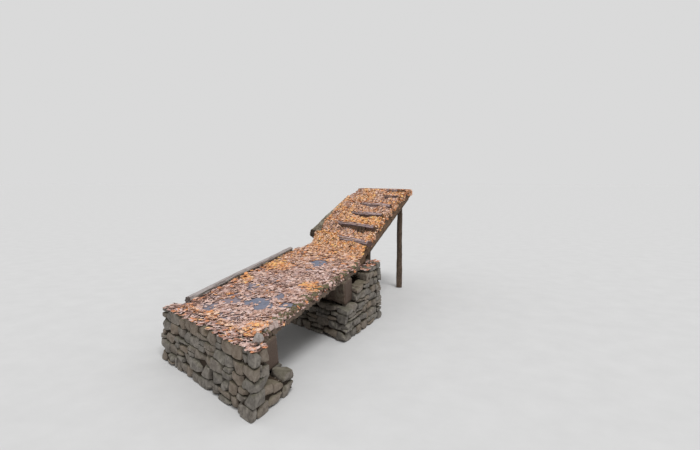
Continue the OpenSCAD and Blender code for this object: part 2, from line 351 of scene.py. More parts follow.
# Materials
def wood(name, light, mid, dark, bark=0.0, lichen=None, moss=None, lit_crown=None):
    """Weathered wood. The mesh carries its grain coordinates in metres: across, across, along.
    lichen and moss are a colour and how much there is of it, and lit_crown is the colour of what looks up:
    weathered silver with painted top light, while the underside is darkened as painted shade."""
    g = new_material(name, "Attribute", "Vector", attribute_name="grain")
    fine = g.scaled(1, 1, 0.055).noise(190, 8, 0.72, 0.3)
    patch = g.noise(5.5)
    base = fine.ramp((0.30, dark), (0.47, mid), (0.62, light))
    base = base.lay(patch.mix(dark, mid), g.scaled(1, 1, 0.055).noise(34, 5, 0.6, 0.6) * 0.75)
    split = g.scaled(1, 1, 0.03).noise(60, 4, 0.55, 0.9).fade(0.365, 0.335)
    base = base.lay(shade(dark, 0.28), split * 0.75)
    if bark:
        plates = g.scaled(1, 1, 0.30).cells(42, feature="DISTANCE_TO_EDGE")
        base = base.lay(shade(dark, 0.35), plates.fade(0.16, 0.0, bark))
    if lichen:
        colour, amount = lichen
        where = (g.noise(21, 6, 0.7) * (patch + 0.25)).fade(0.40 - 0.14 * amount, 0.50 - 0.10 * amount, 0.8)
        base = base.lay(fine.mix(colour, shade(colour, 1.5)), where)
    # Painted light: what looks up takes the weathered silver crown colour, lightened as painted top light;
    # what looks down is darkened as painted underside shade.
    if lit_crown:
        silver_and_top_light = fine.fade(0.36, 0.60).mix(shade(lit_crown, 0.62), lit_crown)
        base = patch.upward(-0.1, 0.7, 0.9).mix(base.lay(shade(dark, 0.8), 0.45), silver_and_top_light)
    if moss:
        colour, amount = moss
        tufts = g.noise(90, 6, 0.8).fade(0.35, 0.65).mix(shade(colour, 0.4), colour)
        base = base.lay(tufts, g.noise(7, 4).upward(0.0, 0.5, 1.6).maths("MULTIPLY", amount, True))
    base = base.lay(end_grain(g, mid, dark), g.attribute("end"))
    rough = fine.ramp((0.3, grey(0.95)), (0.7, grey(0.68)))
    return base.finish(rough, 0.25, fine * 0.5 - split, 0.7, 0.004)


def end_grain(g, mid, dark):
    """Year rings round the heart of a sawn or broken end."""
    x, y = g.channel("X"), g.channel("Y")
    radius = (x * x + y * y).maths("SQRT") + g.noise(30, 3, 0.5) * 0.006
    rings = (radius * 2400).maths("SINE") * 0.28 + 0.5
    return rings.mix(dark, shade(mid, 1.3)).lay(dark, g.noise(60, 5, 0.7) * 0.6)


def litter_crumbs(o, scale, colours):
    """Crushed leaf: irregular flakes of some leaf colours, and where they lie."""
    return o.cells(scale, "Color").channel("Red", "Color").ramp(*colours), o.cells(scale).fade(0.54, 0.32)


def earth(name, soil, clod, grit, leafy=0.0):
    """Trodden soil: clods, grit and small stones, darker where it is cut, crushed leaf on its top."""
    o = new_material(name)
    fine, mid = o.noise(160, 8, 0.75), o.noise(24, 6, 0.65)
    base = mid.fade(0.36, 0.62).mix(soil, clod).lay(grit, fine.fade(0.42, 0.70, 0.85))
    base = base.lay(shade(soil, 0.5), o.noise(4.5, 4).fade(0.40, 0.66, 0.55))
    flat = mid.upward(0.35, 0.75, 0.5)
    layers = o.scaled(1, 1, 5).noise(7, 5, 0.6, 0.4).fade(0.42, 0.60, 0.7)
    cut = base.lay(shade(soil, 0.30), 0.6).lay(shade(clod, 0.55), layers)
    base = flat.mix(cut, base)
    low = o.scaled(1, 1, 1.5)
    number, pick = (low.cells(34, "Color").channel(name, "Color") for name in ("Red", "Green"))
    pebble = pick.fade(0.74, 0.76) * low.cells(34).fade(0.40, 0.26)
    base = base.lay(number.mix(shade(grit, 0.7), (150, 142, 132)), pebble)
    if leafy:
        colour, where = litter_crumbs(o, 46, WARM_LITTER)
        base = base.lay(colour, where * (flat * leafy))
    return base.finish(0.92, 0.2, fine * 0.35 + (mid + pebble), 0.9, 0.010)


def topping():
    """Leaf mould with smooth patches of grey grit where the mesh says that it is bare."""
    o = new_material("deck_earth")
    fine, mid = o.noise(210, 8, 0.75), o.noise(26, 6, 0.65)
    crumb, where = litter_crumbs(o, 52, LITTER)
    mould = mid.fade(0.36, 0.62).mix((112, 90, 84), (150, 122, 112)).lay(crumb, where * 0.75)
    streak = o.scaled(0.6, 1.6, 1).noise(9, 5, 0.65, 0.5)
    grit = mid.fade(0.35, 0.65).mix((99, 105, 121), (116, 122, 139))
    grit = grit.lay((144, 145, 160), streak.fade(0.48, 0.66, 0.5))
    grit = grit.lay((76, 78, 90), fine.fade(0.46, 0.30, 0.6))
    # Painted highlights: pale specks on the grit stand in for glints of light.
    grit = grit.lay((150, 152, 164), fine.fade(0.60, 0.76, 0.6))
    open_ground = o.attribute("bare")
    lilac = fine.mix((112, 102, 110), (150, 138, 144))
    grit = lilac.lay(grit, open_ground.fade(0.86, 0.97)).lay(crumb, where * 0.10)
    base = mould.lay(grit, (open_ground + (mid - 0.5) * 0.5).fade(0.30, 0.48))
    return base.finish(0.88, 0.25, fine * 0.5 + mid, 0.8, 0.006)


def stone(name, light, dark, warm, mossy, tint):
    """Weathered stone. Each one's own tone in the mesh makes it warmer or darker than the next."""
    o = new_material(name)
    tone = o.attribute("tone")
    fine, mid = o.noise(120, 8, 0.7), o.noise(17, 6, 0.6, 0.4)
    base = mid.fade(0.33, 0.66).mix(dark, light).lay(warm, tone.fade(0.35, 1.0, tint * 2))
    base = base.lay(shade(dark, 0.6), tone.fade(0.35, 0.0, tint))
    base = base.lay(shade(light, 1.5), fine.fade(0.55, 0.75, 0.6))
    base = base.lay(shade(dark, 0.35), fine.fade(0.42, 0.25, 0.8))
    tufts = o.noise(130, 6, 0.8).fade(0.3, 0.7).mix((50, 50, 34), (98, 98, 66))
    base = base.lay(tufts, o.noise(6, 5, 0.65).upward(0.15, 0.95, 1.9).maths("MULTIPLY", mossy, True))
    return base.finish(0.85, 0.3, fine * 0.4 + mid, 0.8, 0.006)


def leaf():
    o = new_material("fallen_leaf")
    blotch, tone = o.noise(75, 5, 0.7), o.attribute("tone")
    base = o.attribute("warm").mix(tone.ramp(*LEAF_TONES), tone.ramp(*WARM_TONES))
    base = base.lay((112, 80, 70), blotch.fade(0.50, 0.30, 0.6))
    base = base.lay((228, 208, 200), blotch.fade(0.58, 0.78, 0.5))
    base = base.lay((220, 196, 172), o.attribute("rib").fade(0.12, 0.0, 0.5))
    return base.finish(0.62, 0.3, o.noise(220, 3), 0.35, 0.002)


def moss():
    o = new_material("moss")
    fine = o.noise(190, 7, 0.8)
    base = fine.fade(0.32, 0.66).mix((54, 52, 38), (136, 130, 98))
    base = base.lay((124, 106, 92), o.noise(14, 4).fade(0.44, 0.64, 0.6))
    return base.finish(0.95, 0.15, fine, 1.0, 0.008)


LITTER = (
    (0.0, (122, 94, 84)),
    (0.3, (172, 138, 126)),
    (0.6, (204, 176, 168)),
    (0.8, (196, 146, 108)),
    (1.0, (160, 126, 116)),
)
WARM_LITTER = (
    (0.0, (150, 108, 78)),
    (0.4, (210, 160, 118)),
    (0.7, (236, 190, 142)),
    (1.0, (194, 134, 90)),
)
# Leaves from dark brown to pale, then the orange ones
BROWN_TO, PALE_TO, ORANGE_FROM = 0.24, 0.66, 0.68
LEAF_TONES = (
    (0.00, (92, 62, 56)),
    (0.12, (126, 92, 84)),
    (0.28, (170, 134, 124)),
    (0.44, (200, 168, 160)),
    (0.60, (222, 198, 194)),
    (0.70, (176, 112, 78)),
    (0.80, (214, 136, 90)),
    (0.90, (228, 150, 98)),
    (1.00, (240, 186, 136)),
)
WARM_TONES = (
    (0.00, (132, 88, 60)),
    (0.15, (178, 126, 88)),
    (0.35, (224, 170, 124)),
    (0.55, (244, 196, 148)),
    (0.66, (250, 216, 178)),
    (0.72, (212, 142, 84)),
    (0.86, (240, 166, 94)),
    (1.00, (252, 212, 116)),
)

# Each look: the record's material slot, and the material
LOOKS = {
    "kerb": ("weathered_log", wood("kerb_wood", (178, 168, 164), (138, 129, 126), (76, 69, 66),
                                   lichen=((140, 145, 134), 0.55), lit_crown=(170, 162, 160))),
    # The log look's dark colours are weathered wood, made darker still as painted shade for the stringers
    # under the deck.
    "log": ("log", wood("shade_darkened_log", (132, 114, 98), (94, 78, 65), (48, 38, 31), bark=0.5)),
    "edge_log": ("log", wood("damp_log", (172, 154, 140), (128, 112, 99), (60, 50, 43), bark=0.3,
                             lichen=((142, 140, 118), 0.5), moss=((88, 86, 60), 0.35))),
    "step": ("step_log", wood("step_wood", (166, 140, 136), (118, 96, 92), (54, 40, 37), bark=0.3,
                              lit_crown=(188, 166, 166))),
    "dark_step": ("step_log", wood("dark_step_wood", (122, 98, 94), (80, 60, 57), (36, 26, 24),
                                   bark=0.4, lit_crown=(112, 90, 90))),
    "mossy": ("mossy_log", wood("mossy_wood", (142, 130, 116), (106, 95, 84), (54, 47, 40), bark=0.4,
                                lichen=((146, 140, 124), 0.5), moss=((98, 94, 70), 0.2))),
    "balk": ("balk", wood("balk_wood", (138, 119, 104), (106, 90, 79), (60, 49, 43), bark=0.25,
                          lichen=((120, 112, 100), 0.3), moss=((84, 80, 58), 0.3))),
    "topping": ("earth", topping()),
    "soil": ("earth", earth("stair_earth", (122, 96, 78), (150, 120, 96), (174, 146, 120), leafy=0.9)),
    "core": ("rubble", earth("joint_earth", (58, 48, 40), (76, 64, 52), (94, 80, 66))),
    "rubble": ("rubble", stone("rubble_stone", (138, 132, 124), (84, 79, 74), (122, 102, 82),
                               mossy=0.38, tint=0.25)),
    "grey_stone": ("stone", stone("grey_stone", (184, 177, 172), (124, 117, 114), (168, 150, 138),
                                  mossy=0.1, tint=0.2)),
    "pale_stone": ("stone", stone("pale_stone", (214, 196, 190), (146, 130, 124), (188, 160, 148),
                                  mossy=0.2, tint=0.2)),
    "leaf": ("earth", leaf()),
    "moss": ("earth", moss()),
}


# Mesh helpers
def add_object(name, data):
    ob = bpy.data.objects.new(name, data)
    bpy.context.scene.collection.objects.link(ob)
    return ob


def add_mesh(name, verts, faces, look, replaced=(), sharp=None, **attributes):
    """A piece of the bridge. attributes are one number or one vector for each point."""
    me = bpy.data.meshes.new(name)
    me.from_pydata(np.asarray(verts, float).tolist(), [], [tuple(f) for f in faces])
    me.update()
    for key, values in attributes.items():
        values = np.asarray(values, np.float32)
        vector = values.ndim == 2
        a = me.attributes.new(key, "FLOAT_VECTOR" if vector else "FLOAT", "POINT")
        a.data.foreach_set("vector" if vector else "value", values.ravel())
    me.polygons.foreach_set("use_smooth", [True] * len(me.polygons))
    if sharp:
        me.set_sharp_from_angle(angle=radians(sharp))
    slot, material = LOOKS[look]
    me.materials.append(material)
    ob = add_object(name, me)
    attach(ob, "root")
    if replaced:
        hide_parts(*replaced)
    return ob


def vertex_values(mesh, key):
    values = np.empty(len(mesh.vertices) * 3, np.float32)
    mesh.vertices.foreach_get(key, values)
    return values.reshape(-1, 3)


def joined(parts):
    """Several lots of points, faces and values of each point as one."""
    points, faces, *values = zip(*parts)
    starts = np.cumsum([0] + [len(p) for p in points]).tolist()
    faces = [[i + start for i in face] for lot, start in zip(faces, starts) for face in lot]
    return np.concatenate(points), faces, *(np.concatenate(v) for v in values)


def wrap(a):
    return (a + pi) % (2 * pi) - pi


# How each kind of log is made: points round it, metres between its rings, height of its relief, how
# many cracks and knots, how far it bows, how ragged its ends are and how far it is from round
Bark = namedtuple("Bark", "around step rough cracks knots bow ragged oval", defaults=(0.0, 0.004, 0.03))
BARK = {
    "kerb": Bark(96, 0.015, 0.0034, 10, 7, bow=0.011, ragged=0.014),
    "peg": Bark(28, 0.006, 0.0015, 2, 0),
    "stringer": Bark(56, 0.03, 0.003, 5, 5, oval=0.01),
    "cross_pole": Bark(24, 0.06, 0.002, 2, 2, oval=0.02),
    "step": Bark(72, 0.018, 0.0035, 7, 4, bow=0.006, ragged=0.010),
    "stake": Bark(28, 0.012, 0.002, 2, 1, ragged=0.006),
    "edging": Bark(84, 0.02, 0.006, 5, 6, bow=0.008, ragged=0.012, oval=0.04),
    "edging_post": Bark(52, 0.025, 0.003, 5, 5, ragged=0),
    "bearer": Bark(52, 0.03, 0.0035, 4, 5, oval=0.01),
    "post": Bark(52, 0.025, 0.003, 6, 5, bow=0.004, ragged=0, oval=0.02),
}


def log_relief(A, L, length, r, R, seed, bark):
    """How far the bark and wood stand in or out at the angle A and the length L."""
    draw = random.Random(seed).uniform
    grain = xyz(np.cos(A) * 0.05, np.sin(A) * 0.05, L * 0.09).reshape(-1, 3)
    broad = xyz(np.cos(A), np.sin(A), L * 1.2).reshape(-1, 3)
    d = fbm(grain, 90, seed, 3).reshape(A.shape) * bark.rough
    d += fbm(broad, 2.2, seed + 5, 2).reshape(A.shape) * bark.rough * 1.6
    for _ in range(bark.cracks):
        a0, l0 = draw(0, 2 * pi), draw(0.05, 0.95) * length
        half, drift = draw(0.15, 0.6) * length, draw(-0.5, 0.5)
        wave = 0.08 * np.sin(L * draw(5, 11) + draw(0, 6))
        off = wrap(A - a0 - drift * (L - l0) - wave)
        width = max(0.06, 1.4 * 2 * pi / bark.around)
        along = np.clip(1 - np.abs(L - l0) / half, 0, 1) ** 0.5
        d -= np.exp(-((off / width) ** 2)) * along * draw(0.06, 0.14) * R
    for _ in range(bark.knots):
        a0, l0 = draw(0, 2 * pi), draw(0.1, 0.9) * length
        size = draw(0.35, 0.6) * r
        dist = np.sqrt((wrap(A - a0) * R) ** 2 + (L - l0) ** 2) / size
        d += np.exp(-(dist**2) * 3) * 0.16 * R - np.exp(-(dist**2) * 22) * 0.12 * R
    return d


def log_mesh(kind, ends, radii, up, seed, flat=None):
    """Vertices, faces, grain coordinates and end mask of a weathered log between two ends.
    flat is (side, distance): side -1 cuts what is below -distance, 1 what is above distance."""
    bark, rng = BARK[kind], random.Random(seed + 1000)
    around, ragged = bark.around, bark.ragged
    p0, p1, up = (np.asarray(v, float) for v in (*ends, up))
    length = np.linalg.norm(p1 - p0)
    ez = (p1 - p0) / length
    ey = up - ez * (up @ ez)
    ey /= np.linalg.norm(ey)
    ex = np.cross(ey, ez)
    m = max(8, int(length / bark.step))
    ang = np.linspace(0, 2 * pi, around, endpoint=False)
    T, A = np.meshgrid(np.linspace(0, 1, m + 1), ang, indexing="ij")
    L = T * length
    lobes = np.sin(2 * A + rng.uniform(0, 6) + 2.0 * T) + 0.5 * np.sin(3 * A - 3 * T + rng.uniform(0, 6))
    R = lerp(*radii, T) * (1 + bark.oval * lobes)
    R = R + log_relief(A, L, length, radii[0], R, seed, bark)
    X, Y = R * np.cos(A), R * np.sin(A)
    if flat:
        Y = np.maximum(Y, -flat[1]) if flat[0] < 0 else np.minimum(Y, flat[1])
    cx = bark.bow * (np.sin(pi * T) + 0.4 * np.sin(3 * pi * T + rng.uniform(0, 6)))
    chip = np.abs(ragged * fbm(xyz(np.cos(ang) * 2, np.sin(ang) * 2), 1.7, seed + 9))
    L[0] += chip
    L[-1] -= np.roll(chip, 7)
    pts = p0 + (X + cx)[..., None] * ex + Y[..., None] * ey + L[..., None] * ez
    verts = [pts.reshape(-1, 3)]
    grain = [xyz(X, Y, L + seed * 0.37).reshape(-1, 3)]
    idx = np.arange(around)
    nxt = (idx + 1) % around
    rows = np.arange(m)[:, None] * around
    quads = np.stack([rows + idx, rows + nxt, rows + around + nxt, rows + around + idx], -1)
    faces = quads.reshape(-1, 4).tolist()
    base = (m + 1) * around
    for ring, first in ((0, True), (m, False)):
        rim = pts[ring]
        centre = rim.mean(0)
        prev = ring * around
        for q in (0.97, 0.72, 0.42, 0.16):
            loop = centre + (rim - centre) * q
            dish = noise(loop, 60, seed + ring) * ragged * 0.8 + (1 - q) * 0.03 * radii[0]
            verts.append(loop + ez * (dish if first else -dish)[:, None])
            grain.append(xyz(X[ring] * q, Y[ring] * q, seed * 0.37))
            quad = [prev + nxt, prev + idx, base + idx, base + nxt]
            faces += np.stack(quad if first else quad[::-1], -1).tolist()
            prev = base
            base += around
        last = (prev + idx).tolist()
        faces.append(last[::-1] if first else last)
    end = (np.arange(base) >= (m + 1) * around).astype(float)
    return np.concatenate(verts), faces, np.concatenate(grain), end


def add_logs(node_name, look, *logs):
    """One piece from one or more logs, in place of a CAD node."""
    verts, faces, grain, end = joined(logs)
    name = node_name.removesuffix("s") + "_wood"
    return add_mesh(name, verts, faces, look, [node_name], grain=grain, end=end)


def upright(x, y, z0, z1):
    """The two ends of a post."""
    return place((x, y, z0)), place((x, y, z1))


def box_grid(lines):
    """Points and quads of a box's surface, with grid lines at the given places along its three axes."""
    index, quads = {}, []
    for ax in range(3):
        b, c = (ax + 1) % 3, (ax + 2) % 3
        for end in (0, len(lines[ax]) - 1):
            for i, j in product(range(len(lines[b]) - 1), range(len(lines[c]) - 1)):
                quad = []
                for di, dj in ((0, 0), (1, 0), (1, 1), (0, 1)):
                    key = [end] * 3
                    key[b], key[c] = i + di, j + dj
                    quad.append(index.setdefault(tuple(key), len(index)))
                quads.append(quad if end else quad[::-1])
    return np.array([[line[k] for line, k in zip(lines, key)] for key in index]), quads


@cache
def cube_grid(n):
    """A cube from -1 to 1 with n cells a side."""
    return box_grid([(2 * np.arange(n + 1) - n) / n] * 3)


def rock(size, seed, n=6, rounded=0.35, rough=0.09, cuts=5):
    """A broken, weathered stone that fills a box of that size, centred on the origin."""
    rng = np.random.default_rng(seed)
    pts, quads = cube_grid(n)
    p = pts * (1 - rounded) + unit(pts) * rounded * 1.18
    for _ in range(cuts):
        d = rng.normal(size=3)
        d /= np.linalg.norm(d)
        over = p @ d - rng.uniform(0.86, 1.16)
        p = p - np.clip(over, 0, None)[:, None] * d * 0.95
    p = p * (1 + rough * fbm(p + seed % 97 * 3.1, 1.5, seed % 991, 3))[:, None]
    return np.clip(p, -1.0, 1.0) * (np.asarray(size) / 2), quads


def add_rocks(name, rocks, look, seed, replaced=(), sharp=38):
    rng = np.random.default_rng(seed)
    verts, faces, tone = joined([(v, q, np.full(len(v), rng.random())) for v, q in rocks])
    add_mesh(name, verts, faces, look, replaced, sharp, tone=tone)


def slab(piece, node_name, plan, top, bottom, look, grid, seed, relief, side, rows,
         bare_at=None, to_row=place, whole_ends=False):
    """A closed block of earth over the plan grid plan(a, b), with a crumbled rim of so many rows.
    top(x, y) and bottom(x, y) give its heights, and to_row turns its points into the row frame.
    relief is how rough its top is and side how far its rim crumbles. With whole_ends it stays whole at
    its front and back, where the next block touches it."""
    n, m = grid
    a, b = np.meshgrid(np.linspace(0, 1, n + 1), np.linspace(0, 1, m + 1), indexing="ij")
    x, y = plan(a.ravel(), b.ravel())
    T = xyz(x, y, top(x, y) + relief * (fbm(xyz(x, y), 9, seed, 4) - 0.6))
    B = xyz(x, y, bottom(x, y))
    idx = np.arange((n + 1) * (m + 1)).reshape(n + 1, m + 1)
    loop = np.concatenate([idx[:-1, 0], idx[-1, :-1], idx[::-1, -1][:-1], idx[0, ::-1][:-1]])
    rim = T[loop]
    tangent = np.roll(rim, -1, 0) - np.roll(rim, 1, 0)
    out = xyz(tangent[:, 1], -tangent[:, 0])
    out /= np.linalg.norm(out, axis=1)[:, None] + 1e-9
    if np.mean(np.sum(out * (rim - T.mean(0)), 1)) < 0:
        out = -out
    loose = smooth_step(np.abs(out[:, 0]), 0.72, 0.95) if whole_ends else np.ones(len(loop))
    verts, rings = [T, B], [loop]
    base = 2 * len(T)
    for r in range(1, rows):
        p = T[loop] * (1 - r / rows) + B[loop] * (r / rows)
        p = p + out * (side * (0.06 + 0.94 * loose) * (fbm(p, 11, 84, 4) * 0.9 - 0.6))[:, None]
        verts.append(p)
        rings.append(base + np.arange(len(loop)))
        base += len(loop)
    rings.append(loop + len(T))
    q = np.stack([idx[:-1, :-1], idx[1:, :-1], idx[1:, 1:], idx[:-1, 1:]], -1).reshape(-1, 4)
    faces = q.tolist() + (q[:, ::-1] + len(T)).tolist()
    for r0, r1 in zip(rings[:-1], rings[1:]):
        faces += np.stack([r0, r1, np.roll(r1, -1), np.roll(r0, -1)], -1).tolist()
    V = np.concatenate(verts)
    values = {"bare": bare_at(V[:, 0], V[:, 1])} if bare_at else {}
    ob = add_mesh(piece, to_row(V), faces, look, [node_name], **values)
    bm = bmesh.new()
    bm.from_mesh(ob.data)
    bmesh.ops.recalc_face_normals(bm, faces=bm.faces)
    bm.to_mesh(ob.data)
    bm.free()


# Zones of the deck's surface: middle from the right edge and from the near end, half sizes across and
# away from the camera, and how strong the zone is. ACROSS and AWAY are those two ways, as angles in plan
ACROSS, AWAY = 0.08, 2.12
BARE_ZONES = (
    (-0.59, 1.01, 0.24, 0.26, 1.0),
    (-0.16, 0.97, 0.19, 0.17, 0.96),
    (-0.47, 1.31, 0.08, 0.17, 0.93),
    (-0.69, 2.94, 0.18, 0.32, 1.0),
    (-0.70, 2.58, 0.09, 0.18, 0.90),
    (-1.05, 1.14, 0.18, 0.26, 0.87),
    (-1.20, 0.84, 0.11, 0.17, 0.93),
    (-0.72, 0.56, 0.18, 0.26, 0.72),
    (-1.13, 1.74, 0.15, 0.23, 0.90),
    (-0.93, 1.29, 0.14, 0.17, 0.84),
    (-0.86, 2.04, 0.31, 0.20, 0.50),
    (-1.34, 1.12, 0.16, 0.24, 0.62),
    (-1.28, 0.46, 0.14, 0.20, 0.58),
)
WARM_ZONES = (
    (-1.45, 2.07, 0.14, 0.32, 1.0),
    (-1.37, 2.80, 0.25, 0.38, 1.0),
    (-0.16, 1.67, 0.16, 0.30, 1.0),
    (-1.01, 0.60, 0.11, 0.20, 0.8),
    (-0.15, 0.27, 0.14, 0.32, 1.0),
    (-1.19, 1.29, 0.08, 0.12, 0.5),
    (-0.73, 1.45, 0.08, 0.12, 0.4),
)


def zones(x, y, places, low, high, seed):
    """The strongest of some soft oval zones at plan points: whole inside low of its size, 0 at high."""
    wobble = 0.35 * fbm(xyz(x, y), 9, seed, 3)
    out = np.zeros_like(x)
    for cx, cy, across, away, amount in places:
        dx, dy = x - HALF_W - cx, y - cy
        b = (dy * cos(ACROSS) - dx * sin(ACROSS)) / sin(AWAY - ACROSS)
        a = (dx - b * cos(AWAY)) / cos(ACROSS)
        d = np.hypot(a / across, b / away)
        out = np.maximum(out, amount * (1 - smooth_step(d + wobble, low, high)))
    return out


def bare(x, y):
    """How bare of leaves the deck is at a plan point: smooth grit patches and thin streaks."""
    return zones(x, y, BARE_ZONES, 0.72, 1.12, 71)


# Rubble walls
JOINT, STONE_L, STONE_DEPTH = 0.006, (0.11, 0.30), 0.19
CORE_SHRINK, CORE_CRUMBLE, CORE_CELL = 0.050, 0.02, 0.045


def wall_stone(ends, into, z0, z1, seed):
    """A stone in a wall. ends are the plan points of its foot, then of its head; into runs inward at
    its two sides."""
    v, q = rock((2, 2, 2), seed, n=5, rounded=random.Random(seed).uniform(0.08, 0.26), rough=0.045)
    s, t, d = (v[:, [0]] + 1) / 2, (v[:, [1]] + 1) / 2, (1 - v[:, [2]]) / 2
    xy = lerp(lerp(ends[0], ends[1], s), lerp(ends[2], ends[3], s), t) + lerp(*into, s) * d
    return place(np.column_stack([xy, lerp(z0, z1, t)])), q


def joints_along(rng, start, stop):
    """Where the upright joints of a course fall between start and stop."""
    at = [start]
    while at[-1] < stop - STONE_L[0] * 0.9:
        at.append(min(stop, at[-1] + rng.uniform(*STONE_L)))
    if len(at) == 1:
        at.append(stop)
    at[-1] = stop
    return at


def course_piece(rng, ends, into, z0, z1, head):
    """One stone, or two thin ones on each other, between two joints of a course."""
    half = JOINT / 2
    if z1 - z0 > 0.11 and rng.random() < 0.28:
        cut = rng.uniform(0.38, 0.62)
        z = lerp(z0, z1, cut)
        mid = [lerp(ends[0], ends[2], cut), lerp(ends[1], ends[3], cut)]
        lower = wall_stone([*ends[:2], *mid], into, z0 + half, z - half, rng.randrange(10**6))
        return [lower, wall_stone([*mid, *ends[2:]], into, z + half, z1, rng.randrange(10**6))]
    if not head:
        z1 += rng.uniform(-0.012, 0.004)
    return [wall_stone(ends, into, z0 + half, z1 - half, rng.randrange(10**6))]


def rubble_ring(seed, quad, levels, ledge=lambda x, y: inf, depth=STONE_DEPTH, sides=(0, 1, 2, 3)):
    """Courses of stones round a block. quad(z) gives its four plan corners in order, levels the
    heights between the courses; no stone stands above ledge(x, y)."""
    rng = random.Random(seed)
    stones = []
    for c, (z0, z1) in enumerate(zip(levels[:-1], levels[1:])):
        low, high = quad(z0), quad(z1)
        for side in sides:
            a, b, a_up, b_up = low[side], low[(side + 1) % 4], high[side], high[(side + 1) % 4]
            before, after = unit(np.array([low[side - 1] - a, low[(side + 2) % 4] - b]))
            run = np.linalg.norm(b - a)
            along = (b - a) / run
            inward = np.array([-along[1], along[0]])
            if inward @ (before + after) < 0:
                inward = -inward
            start, stop = (depth / max(0.4, sqrt(1 - (way @ along) ** 2)) for way in (before, after))
            owner = (c + side) % 2 == 0
            joints = joints_along(rng, 0.0 if owner else start, run if owner else run - stop)
            for s0, s1 in zip(joints[:-1], joints[1:]):
                lo, hi = (s0 + JOINT / 2) / run, (s1 - JOINT / 2) / run
                inset = inward * rng.uniform(0.0, 0.018)
                ends = [lerp(a, b, lo), lerp(a, b, hi), lerp(a_up, b_up, lo), lerp(a_up, b_up, hi)]
                ends = [p + inset for p in ends]
                at_start = before / abs(before @ inward) if s0 < 1e-6 else inward
                at_stop = after / abs(after @ inward) if s1 > run - 1e-6 else inward
                head = min(z1, ledge(*((ends[0] + ends[1]) / 2)))
                if head - z0 > 0.030:
                    last = head < z1 or z1 == levels[-1]
                    stones += course_piece(rng, ends, [at_start * depth, at_stop * depth], z0, head, last)
    return stones


def block_quad(x0, x1, front, back):
    """The plan corners at a height: right front, right back, left back, left front."""
    def corners(z):
        sides = ((x1, front(z)), (x1, back(z)), (x0, back(z)), (x0, front(z)))
        return [np.array([x, plan_y(x, v)]) for x, v in sides]

    return corners


def add_core(name, seed):
    """The dark heart of a footing: the CAD block's own surface, drawn in and crumbled, in the same place."""
    copy = add_object("copy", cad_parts[name].data.copy())
    remesh = copy.modifiers.new("remesh", "REMESH")
    remesh.mode = "VOXEL"
    remesh.voxel_size = CORE_CELL
    evaluated = copy.evaluated_get(bpy.context.evaluated_depsgraph_get())
    got = bpy.data.meshes.new_from_object(evaluated)
    verts, normals = vertex_values(got, "co").astype(float), vertex_values(got, "normal")
    faces = [tuple(poly.vertices) for poly in got.polygons]
    bpy.data.objects.remove(copy)
    d = fbm(verts, 9, seed, 4) * CORE_CRUMBLE - CORE_SHRINK
    add_mesh(name + "_core", verts + normals * d[:, None], faces, "core", [name])


def add_footing(name, rings, seed):
    add_core(name, seed)
    stones = []
    for i, ring in enumerate(rings):
        stones += rubble_ring(seed + 10 * i, **ring)
    add_rocks(name + "_stones", stones, "rubble", seed, [name])


# Fallen leaves: outlines in leaf lengths, faces, and 0 at the rib to 1 at the margin
OVAL = (
    np.array([
        (0, 0, 0), (-0.30, 0.30, 0), (0, 0.30, 0), (0.30, 0.30, 0),
        (-0.27, 0.64, 0), (0, 0.64, 0), (0.27, 0.64, 0), (0, 1, 0),
    ], float),
    [(0, 2, 1), (0, 3, 2), (1, 2, 5, 4), (2, 3, 6, 5), (4, 5, 7), (5, 6, 7)],
    [0, 1, 0, 1, 1, 0, 1, 0],
)
LOBED = (
    np.array([
        (0, 0.40, 0), (0, 0, 0), (0.36, 0.12, 0), (0.20, 0.34, 0), (0.55, 0.56, 0), (0.22, 0.62, 0),
        (0, 1, 0), (-0.22, 0.62, 0), (-0.55, 0.56, 0), (-0.20, 0.34, 0), (-0.36, 0.12, 0),
    ], float),
    [(0, i, i + 1) for i in range(1, 10)] + [(0, 10, 1)],
    [0, 0, 1, 0.7, 1, 0.7, 0, 0.7, 1, 0.7, 1],
)


def leaf_shapes(rng, shape, count, size, tilt):
    """Points of count leaves, each curled, tilted and turned its own way, lowest point near 0."""
    def each(lo, hi):
        return rng.uniform(lo, hi, (count, 1))

    p = np.repeat(shape[None], count, 0)
    x = p[:, :, 0] * each(0.85, 1.15) + rng.normal(0, 0.02, p.shape[:2])
    y = p[:, :, 1]
    z = each(-0.05, 0.20) * np.abs(x) + each(-0.35, 0.5) * x * x + each(-0.2, 0.3) * (y - 0.5) ** 2
    z = z + rng.normal(0, 0.012, x.shape)
    x, y, z = x * size, (y - 0.5) * size, z * size
    a, b, c = rng.normal(0, tilt, (count, 1)), rng.normal(0, tilt, (count, 1)), each(0, 2 * pi)
    y, z = turned(y, z, a)
    z, x = turned(z, x, b)
    x, y = turned(x, y, c)
    return x, y, z - z.min(1)[:, None] * 0.8


